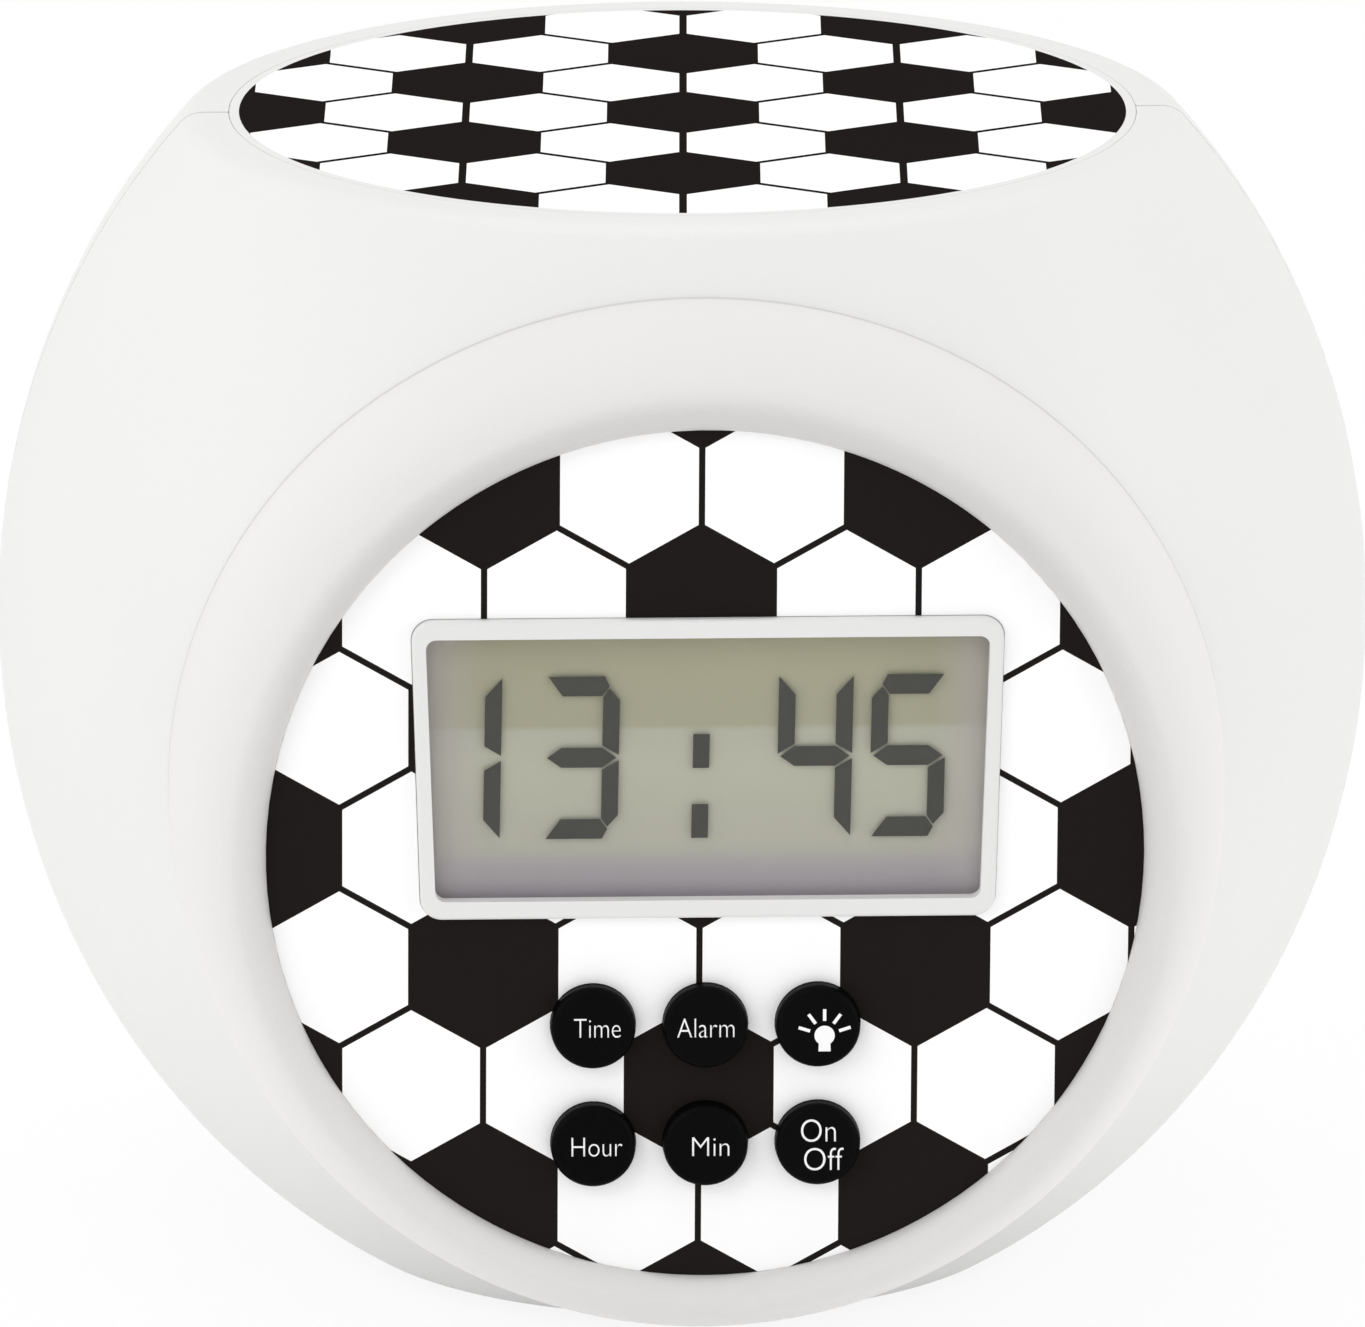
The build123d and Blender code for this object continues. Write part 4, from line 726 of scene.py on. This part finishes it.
def plain_hem(mesh, node, outer, material):
    """Add a plain hem round a level sticker's print, out to this radius."""
    mesh.materials.append(material)
    low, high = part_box(node)
    centre = (low + high) / 2
    inner = (high.x - low.x) / 2
    shape = bmesh.new()
    shape.from_mesh(mesh)
    section = ((inner, low.z), (outer, low.z), (outer, high.z), (inner, high.z))
    rings = [
        [
            shape.verts.new((centre.x + r * cos(turn), centre.y + r * sin(turn), z))
            for r, z in section
        ]
        for turn in (2 * pi * side / HEM_SIDES for side in range(HEM_SIDES))
    ]
    for side, ring in enumerate(rings):
        after = rings[(side + 1) % HEM_SIDES]
        for corner in range(4):
            beside = (corner + 1) % 4
            face = shape.faces.new((ring[corner], after[corner], after[beside], ring[beside]))
            face.material_index = len(mesh.materials) - 1
    shape.to_mesh(mesh)
    shape.free()


class CLOCK_OT_stickers(bpy.types.Operator):
    """Print the hexagons on the dial and on the snooze key"""

    bl_idname = "clock.stickers"
    bl_label = "Stickers"

    def execute(self, context):
        settings = context.scene.clock_sticker
        tree = hexagon_sticker()
        white = moulded(
            "white print", settings.white, 0.4, shade=0.006, grain=0.9, depth=0.001
        )
        black = moulded(
            "black print", settings.black, 0.45, shade=0.08, grain=0.9, depth=0.001,
            Specular_IOR_Level=0.0,
        )
        shared = {
            "Columns": settings.columns,
            "Rows": settings.rows,
            "White": white,
            "Black": black,
            "Depth": 2 * MM,
        }
        dial = middle("face_label")
        top = middle("top_label")
        aside, up = settings.dial_shift
        centre = dial + Vector((aside, 0, up))
        low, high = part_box("face_label")
        edges = [(middle("button_" + key), DIAL_HOLE, settings.key_hole) for key in KEYS]
        edges.append((dial, (high.x - low.x) / 2, settings.dial_radius))
        printed_sticker(
            "dial_sticker", "face_label", "case", tree, edges,
            {
                **shared, "Pitch": settings.dial_pitch, "Row Stretch": settings.dial_stretch,
                "Line": settings.dial_line, "Centre": centre,
                "Turn": Euler((pi / 2, settings.dial_turn, 0)),
            },
        )
        aside, back = settings.top_shift
        centre = top + Vector((aside, back, 0))
        sticker = printed_sticker(
            "top_sticker", "top_label", "snooze_key", tree, [],
            {
                **shared, "Pitch": settings.top_pitch, "Row Stretch": settings.top_stretch,
                "Line": settings.top_line, "Centre": centre,
                "Turn": Euler((0, 0, -settings.top_turn)),
            },
        )
        shell = NODES["front_shell"].data.materials[0]
        plain_hem(sticker.data, "top_label", settings.top_hem, shell)
        return {"FINISHED"}


# --- display ------------------------------------------------------------------------------
SLAB_CORNER = 0.8 * MM       # round corners of the reflector and the cover
SLAB_EDGE = 0.05 * MM        # and their rounded edges
SEGMENT_THICKNESS = 0.03 * MM
COVER_GAP = 0.08 * MM        # behind the cover
REFLECTOR_HALF = 10.7 * MM   # half of the height that its colours run over
HEM_TINT = (17.5 * MM, 22.5 * MM, 0.7)       # from and to, aside of the middle, and its share
CORNER_CUT = 0.62            # cut of a corner that two lit segments share, as a share of a post
MITRE = 0.88                 # length of a free end's mitre, as a share of a post
FOOT_CUT = 0.55              # height of an upright's cut corner, as a share of a bar
LIT = {"1": "bc", "3": "abgcd", "4": "fgbc", "5": "afgcd"}
# left edge of each digit, from the middle of the display, in millimetres
DIGIT_PLACES = [("1", -22.05), ("3", -12.8), ("4", 5.5), ("5", 12.8)]
COLON_X = -0.5
COLON_DOT = (1.3, 2.75)
COLON_ROOM = 5.7         # from the foot of the lower dot to the foot of the upper one


def segment_outlines(lit, width, height, bar, post, gap):
    """Outlines of a digit's lit segments, from its lower left corner.

    A corner between two lit segments is cut off, and the end of a segment with no neighbour is a
    mitre that reaches the corner.
    """
    half = height / 2
    cut = CORNER_CUT * post
    mitre = MITRE * post

    def level(at_left, at_right):
        """A level segment along z = 0, from below; its inner side is at z = bar."""
        left = [(gap, 0), (mitre + gap, bar)]
        right = [(width - gap, 0), (width - mitre - gap, bar)]
        if at_left in lit:
            left = [(cut + 2 * gap, 0), (cut, bar / 2), (post + gap / 2, bar)]
        if at_right in lit:
            right = [
                (width - cut - 2 * gap, 0), (width - cut, bar / 2), (width - post - gap / 2, bar)
            ]
        return left[::-1] + right

    def upright(corner):
        """An upright segment along x = 0, from the foot of the digit up to its middle."""
        tip = half - gap
        top = [(0, tip), (post, half - bar / 2 - gap)]
        if corner in lit:
            foot = [(post, bar + gap / 2), (cut, FOOT_CUT * bar + gap / 2), (0, bar + 1.5 * gap)]
        else:
            foot = [(post, bar), (0, gap / 2)]
        return top + foot

    outlines = []
    if "d" in lit:
        outlines.append(level("e", "c"))
    if "a" in lit:
        outlines.append([(x, height - z) for x, z in level("f", "b")])
    if "e" in lit:
        outlines.append(upright("d"))
    if "c" in lit:
        outlines.append([(width - x, z) for x, z in upright("d")])
    if "f" in lit:
        outlines.append([(x, height - z) for x, z in upright("a")])
    if "b" in lit:
        outlines.append([(width - x, height - z) for x, z in upright("a")])
    if "g" in lit:
        side = bar / 2
        outlines.append([
            (gap, half), (post, half - side), (width - post, half - side),
            (width - gap, half), (width - post, half + side), (post, half + side),
        ])
    return outlines


def reflector_finish(centre):
    """Grey-green reflector: darker and warmer above, paler in the middle, a cool hem below. The
    step from the darker upper band to the paler middle is a painted reflection in the cover.
    """
    material, tree, shader = new_material("display reflector")
    place = add(tree, "ShaderNodeTexCoord")
    centred = add(tree, "ShaderNodeMapping")
    centred.inputs["Location"].default_value = -centre
    apart = add(tree, "ShaderNodeSeparateXYZ")
    height = add(
        tree, "ShaderNodeMapRange",
        inputs={"From Min": -REFLECTOR_HALF, "From Max": REFLECTOR_HALF},
    )
    ramp = add(tree, "ShaderNodeValToRGB")
    ramp.color_ramp.interpolation = "EASE"
    # the darker, warmer band from 0.65 up against the paler middle below it is a painted reflection
    # in the cover
    tone_and_reflection_stops = [
        (0.0, (0.33, 0.305, 0.34)),
        (0.09, (0.35, 0.325, 0.34)),
        (0.20, (0.415, 0.41, 0.335)),
        (0.50, (0.442, 0.443, 0.345)),
        (0.615, (0.418, 0.424, 0.333)),
        (0.65, (0.346, 0.337, 0.226)),
        (1.0, (0.35, 0.338, 0.218)),
    ]
    marks = ramp.color_ramp.elements
    for end in (0, -1):
        marks[end].color = (*tone_and_reflection_stops[end][1], 1)
    for place_on_ramp, colour in tone_and_reflection_stops[1:-1]:
        marks.new(place_on_ramp).color = (*colour, 1)
    side = add(tree, "ShaderNodeMath", operation="ABSOLUTE")
    near, far, share = HEM_TINT
    edge = add(
        tree, "ShaderNodeMapRange", inputs={"From Min": near, "From Max": far, "To Max": share}
    )
    blush = add(tree, "ShaderNodeMix", data_type="RGBA")
    blush.inputs["B"].default_value = (0.49, 0.44, 0.45, 1)
    grained = add(tree, "ShaderNodeGroup", node_tree=group_of(moulded_grain))
    grained.inputs["Shade"].default_value = 0.10
    grained.inputs["Roughness"].default_value = 0.55
    grained.inputs["Grain Size"].default_value = 0.22 * MM
    grained.inputs["Grain Depth"].default_value = 0.002 * MM
    join = tree.links.new
    join(place.outputs["Object"], centred.inputs["Vector"])
    join(centred.outputs[0], apart.inputs[0])
    join(apart.outputs["Z"], height.inputs["Value"])
    join(height.outputs[0], ramp.inputs[0])
    join(apart.outputs["X"], side.inputs[0])
    join(side.outputs[0], edge.inputs["Value"])
    join(edge.outputs[0], blush.inputs["Factor"])
    join(ramp.outputs["Color"], blush.inputs["A"])
    join(blush.outputs["Result"], grained.inputs["Colour"])
    join(grained.outputs["Colour"], shader.inputs["Base Color"])
    join(grained.outputs["Roughness"], shader.inputs["Roughness"])
    join(grained.outputs["Normal"], shader.inputs["Normal"])
    return material


class CLOCK_OT_display(bpy.types.Operator):
    """Build the display: reflector, dark segments and clear cover"""

    bl_idname = "clock.display"
    bl_label = "Display"

    def execute(self, context):
        settings = context.scene.clock_display
        low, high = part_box("lcd_panel")
        centre = (low + high) / 2
        front = low.y
        reflector = rounded_slab(
            "display_reflector",
            Vector((low.x, front + settings.cell_depth, low.z)),
            high,
            SLAB_CORNER,
            SLAB_EDGE,
            reflector_finish(centre),
        )
        link(reflector, "case", "lcd_grey", "lcd_panel")

        dark = moulded(
            "segment ink", settings.segment, 0.5, shade=0.1, grain=0.25, depth=0.001,
            Specular_IOR_Level=0.05,
        )
        shape = bmesh.new()
        foot = centre.z + settings.digits_up - settings.digit_height / 2

        def leaning(points):
            half = settings.digit_height / 2
            return [(x + settings.lean * (z - half), foot + z) for x, z in points]

        for digit, left in DIGIT_PLACES:
            outlines = segment_outlines(
                LIT[digit], settings.digit_width, settings.digit_height, settings.bar,
                settings.post, settings.gap,
            )
            for outline in outlines:
                points = [(centre.x + left * MM + x, z) for x, z in outline]
                prism(shape, leaning(points), front, SEGMENT_THICKNESS)
        for dot in range(2):
            x = centre.x + COLON_X * MM
            z = dot * COLON_ROOM * MM
            half, tall = COLON_DOT[0] / 2 * MM, COLON_DOT[1] * MM
            corners = [(x - half, z), (x + half, z), (x + half, z + tall), (x - half, z + tall)]
            prism(shape, leaning(corners), front, SEGMENT_THICKNESS)
        link(mesh_piece("display_segments", shape, [dark]), "case", "lcd_grey")

        low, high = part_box("lcd_window")
        clear_sheet = moulded(
            "clear sheet", (0.5, 0.5, 0.48), 0.1, shade=0.0, grain=3.0, depth=0.0, Alpha=0.04
        )
        back = high - Vector((0, COVER_GAP, 0))
        cover = rounded_slab("display_cover", low, back, SLAB_CORNER, SLAB_EDGE, clear_sheet)
        link(cover, "case", "clear_cover", "lcd_window")
        return {"FINISHED"}


# --- key legends --------------------------------------------------------------------------
# words of each key: (text, right of the key's middle, baseline above it, size property, narrowing)
LEGENDS = {
    "button_time": [("Time", 0.33, -0.7, "word_size", 0.78)],
    "button_alarm": [("Alarm", 0.05, -0.75, "word_size", 0.80)],
    "button_hour": [("Hour", 0.2, -0.75, "word_size", 0.82)],
    "button_minute": [("Min", 0.38, -0.8, "word_size", 0.93)],
    "button_on_off": [
        ("On", 0.05, 0.3, "pair_size", 0.84),
        ("Off", 0.35, -2.05, "pair_size", 0.87),
    ],
}
LAMP_MIDDLE = (0.5, -0.65)       # of the lamp's round bulb on its key
LAMP_R = 0.8
LAMP_NECK = (0.48, 1.3)          # half width, and reach below the bulb's middle
BULB_START = radians(-55)        # where its round part leaves the neck, and how far it goes round
BULB_SWEEP = radians(290)
BULB_STEPS = 28
RAY_TURNS = (18, 54, 90, 126, 162)
RAY_REACH = (1.2, 2.15)
RAY_HALF = 0.13


def word_mesh(text, size, thinning):
    """Flat letters, centred on x, with their baseline at y = 0."""
    curve = bpy.data.curves.new(text, "FONT")
    curve.body = text
    curve.size = size
    curve.align_x = "CENTER"
    curve.offset = -thinning
    curve.resolution_u = 6
    holder = bpy.data.objects.new(text, curve)
    bpy.context.scene.collection.objects.link(holder)
    bpy.context.view_layer.update()
    graph = bpy.context.evaluated_depsgraph_get()
    mesh = bpy.data.meshes.new_from_object(holder.evaluated_get(graph))
    bpy.data.objects.remove(holder)
    return mesh


def legend(shape, words, key_middle, front, settings):
    """Words printed on a key's front."""
    for text, aside, up, size, narrowing in words:
        letters = word_mesh(text, getattr(settings, size), settings.thinning)
        place = Matrix.Translation((key_middle.x + aside * MM, front, key_middle.z + up * MM))
        narrow = Matrix.Diagonal((narrowing, 1, 1, 1))
        letters.transform(place @ Matrix.Rotation(pi / 2, 4, "X") @ narrow)
        flat = bmesh.new()
        flat.from_mesh(letters)
        pushed = bmesh.ops.extrude_face_region(flat, geom=list(flat.faces))
        moved = [part for part in pushed["geom"] if isinstance(part, bmesh.types.BMVert)]
        bmesh.ops.translate(flat, verts=moved, vec=(0, -settings.relief, 0))
        bmesh.ops.recalc_face_normals(flat, faces=flat.faces)
        flat.to_mesh(letters)
        flat.free()
        shape.from_mesh(letters)


def lamp_picture(shape, key_middle, front, relief):
    """A plain light bulb with five rays."""
    x = key_middle.x + LAMP_MIDDLE[0] * MM
    z = key_middle.z + LAMP_MIDDLE[1] * MM
    neck, reach = (value * MM for value in LAMP_NECK)
    turns = [BULB_START + BULB_SWEEP * step / BULB_STEPS for step in range(BULB_STEPS + 1)]
    bulb = [(x + LAMP_R * MM * cos(turn), z + LAMP_R * MM * sin(turn)) for turn in turns]
    prism(shape, bulb + [(x - neck, z - reach), (x + neck, z - reach)], front, -relief)
    for turn in RAY_TURNS:
        out = Vector((cos(radians(turn)), sin(radians(turn))))
        across = Vector((-out.y, out.x)) * RAY_HALF * MM
        near, far = (out * reach_mm * MM for reach_mm in RAY_REACH)
        corners = [near - across, far - across, far + across, near + across]
        prism(shape, [(x + corner.x, z + corner.y) for corner in corners], front, -relief)


class CLOCK_OT_legends(bpy.types.Operator):
    """Print the keys' words and the lamp picture"""

    bl_idname = "clock.legends"
    bl_label = "Key legends"

    def execute(self, context):
        settings = context.scene.clock_legend
        white = moulded("legend ink", (0.93, 0.93, 0.93), 0.45, shade=0.02, grain=0.2, depth=0.001)
        for key in [*LEGENDS, "button_light"]:
            key_middle = middle(key)
            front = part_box(key)[0].y
            shape = bmesh.new()
            if key in LEGENDS:
                legend(shape, LEGENDS[key], key_middle, front, settings)
            else:
                lamp_picture(shape, key_middle, front, settings.relief)
            piece = mesh_piece(key.replace("button_", "legend_"), shape, [white])
            link(piece, key.replace("button_", "key_"), "dial_print")
        return {"FINISHED"}


# --- stage --------------------------------------------------------------------------------
# each lamp: its name and power setting, its place from the middle of the ball, its side in metres
LAMPS = (
    ("top_lamp", (0, 0.1, 1.0), 0.9),
    ("key_lamp", (-0.75, -0.75, 0.75), 0.5),
    ("left_lamp", (-1.1, -0.3, 0.25), 0.8),
    ("right_lamp", (1.1, -0.3, 0.25), 0.8),
)
FLOOR_HALF = 4.0         # half of the floor's side
FLOOR_GLOW = 0.12
FLOOR_WHITE = 0.99       # brightness of the floor's plain white
FLOOR_SHARE = 0.85       # share of plain white where the camera looks; the rest shows the shadow


def white_for_camera(tree, lit, strength, share):
    """Mix a lit shader or colour with plain white where the camera, glass or gloss looks at it."""
    path = add(tree, "ShaderNodeLightPath")
    camera_or_gloss = add(tree, "ShaderNodeMath", operation="MAXIMUM")
    seen = add(tree, "ShaderNodeMath", operation="MAXIMUM")
    part = add(tree, "ShaderNodeMath", operation="MULTIPLY", inputs={1: share})
    plain = add(tree, "ShaderNodeEmission", inputs={"Color": (1, 1, 1, 1), "Strength": strength})
    mix = add(tree, "ShaderNodeMixShader")
    join = tree.links.new
    join(path.outputs["Is Camera Ray"], camera_or_gloss.inputs[0])
    join(path.outputs["Is Glossy Ray"], camera_or_gloss.inputs[1])
    join(camera_or_gloss.outputs[0], seen.inputs[0])
    join(path.outputs["Is Transmission Ray"], seen.inputs[1])
    join(seen.outputs[0], part.inputs[0])
    join(part.outputs[0], mix.inputs[0])
    join(lit, mix.inputs[1])
    join(plain.outputs[0], mix.inputs[2])
    return mix.outputs[0]


def looking_at(name, data, aim, away):
    """An object at some distance from a point that it looks at."""
    holder = bpy.data.objects.new(name, data)
    holder.location = aim + away
    holder.rotation_euler = (-away).to_track_quat("-Z", "Y").to_euler()
    bpy.context.scene.collection.objects.link(holder)
    return holder


def lamp(name, aim, away, size, power):
    """A square area lamp that looks at a point."""
    data = bpy.data.lights.new(name, "AREA")
    data.size = size
    data.energy = power
    looking_at(name, data, aim, Vector(away))


class CLOCK_OT_stage(bpy.types.Operator):
    """Set the floor, the lamps, the world and the camera"""

    bl_idname = "clock.stage"
    bl_label = "Stage"

    def execute(self, context):
        scene = context.scene
        settings = scene.clock_stage
        scene.view_settings.view_transform = "Standard"
        aim = Vector((0, PARTING_Y, middle("face_label").z + DIAL_DROP))

        shape = bmesh.new()
        bmesh.ops.create_grid(shape, x_segments=1, y_segments=1, size=FLOOR_HALF)
        material, tree, shader = new_material("floor paper")
        shader.inputs["Base Color"].default_value = (0.93, 0.93, 0.93, 1)
        shader.inputs["Roughness"].default_value = 0.9
        shader.inputs["Emission Color"].default_value = (1, 1, 1, 1)
        shader.inputs["Emission Strength"].default_value = FLOOR_GLOW
        surface = white_for_camera(tree, shader.outputs[0], FLOOR_WHITE, FLOOR_SHARE)
        tree.links.new(surface, tree.nodes["Material Output"].inputs["Surface"])
        floor = mesh_piece("floor", shape, [material])
        scene.collection.objects.link(floor)

        world = bpy.data.worlds.new("studio")
        world.use_nodes = True
        backdrop = world.node_tree.nodes["Background"]
        backdrop.inputs["Color"].default_value = (1, 1, 1, 1)
        backdrop.inputs["Strength"].default_value = settings.world
        surface = white_for_camera(world.node_tree, backdrop.outputs[0], 1.0, 1.0)
        world.node_tree.links.new(surface, world.node_tree.nodes["World Output"].inputs["Surface"])
        scene.world = world

        for name, away, side in LAMPS:
            lamp(name, aim, away, side, getattr(settings, name))

        level = cos(settings.elevation) * settings.distance
        away = Vector((
            -sin(settings.turn) * level,
            -cos(settings.turn) * level,
            sin(settings.elevation) * settings.distance,
        ))
        camera = bpy.data.cameras.new("camera")
        camera.lens = settings.lens
        camera.sensor_width = 36
        camera.shift_y = settings.shift
        camera.clip_start = 0.05
        scene.camera = looking_at("camera", camera, aim, away)
        return {"FINISHED"}


class CLOCK_PT_panel(bpy.types.Panel):
    """The clock's pieces"""

    bl_idname = "CLOCK_PT_panel"
    bl_label = "Clock"
    bl_space_type = "VIEW_3D"
    bl_region_type = "UI"
    bl_category = "Clock"

    def draw(self, context):
        for name, group in SETTINGS.items():
            box = self.layout.box()
            box.label(text=group.__doc__)
            for prop in group.__annotations__:
                box.prop(getattr(context.scene, name), prop)
        for operator in OPERATORS:
            self.layout.operator(operator.bl_idname)


SETTINGS = {
    "clock_sticker": StickerSettings,
    "clock_display": DisplaySettings,
    "clock_legend": LegendSettings,
    "clock_stage": StageSettings,
}
OPERATORS = (
    CLOCK_OT_finishes,
    CLOCK_OT_stickers,
    CLOCK_OT_display,
    CLOCK_OT_legends,
    CLOCK_OT_stage,
)


def register():
    for cls in (*SETTINGS.values(), *OPERATORS, CLOCK_PT_panel):
        bpy.utils.register_class(cls)
    for name, group in SETTINGS.items():
        setattr(bpy.types.Scene, name, PointerProperty(type=group))


def unregister():
    for name in SETTINGS:
        delattr(bpy.types.Scene, name)
    for cls in reversed((*SETTINGS.values(), *OPERATORS, CLOCK_PT_panel)):
        bpy.utils.unregister_class(cls)


def main():
    register()
    for operator in OPERATORS:
        family, name = operator.bl_idname.split(".")
        getattr(getattr(bpy.ops, family), name)()


if __name__ == "__main__":
    main()
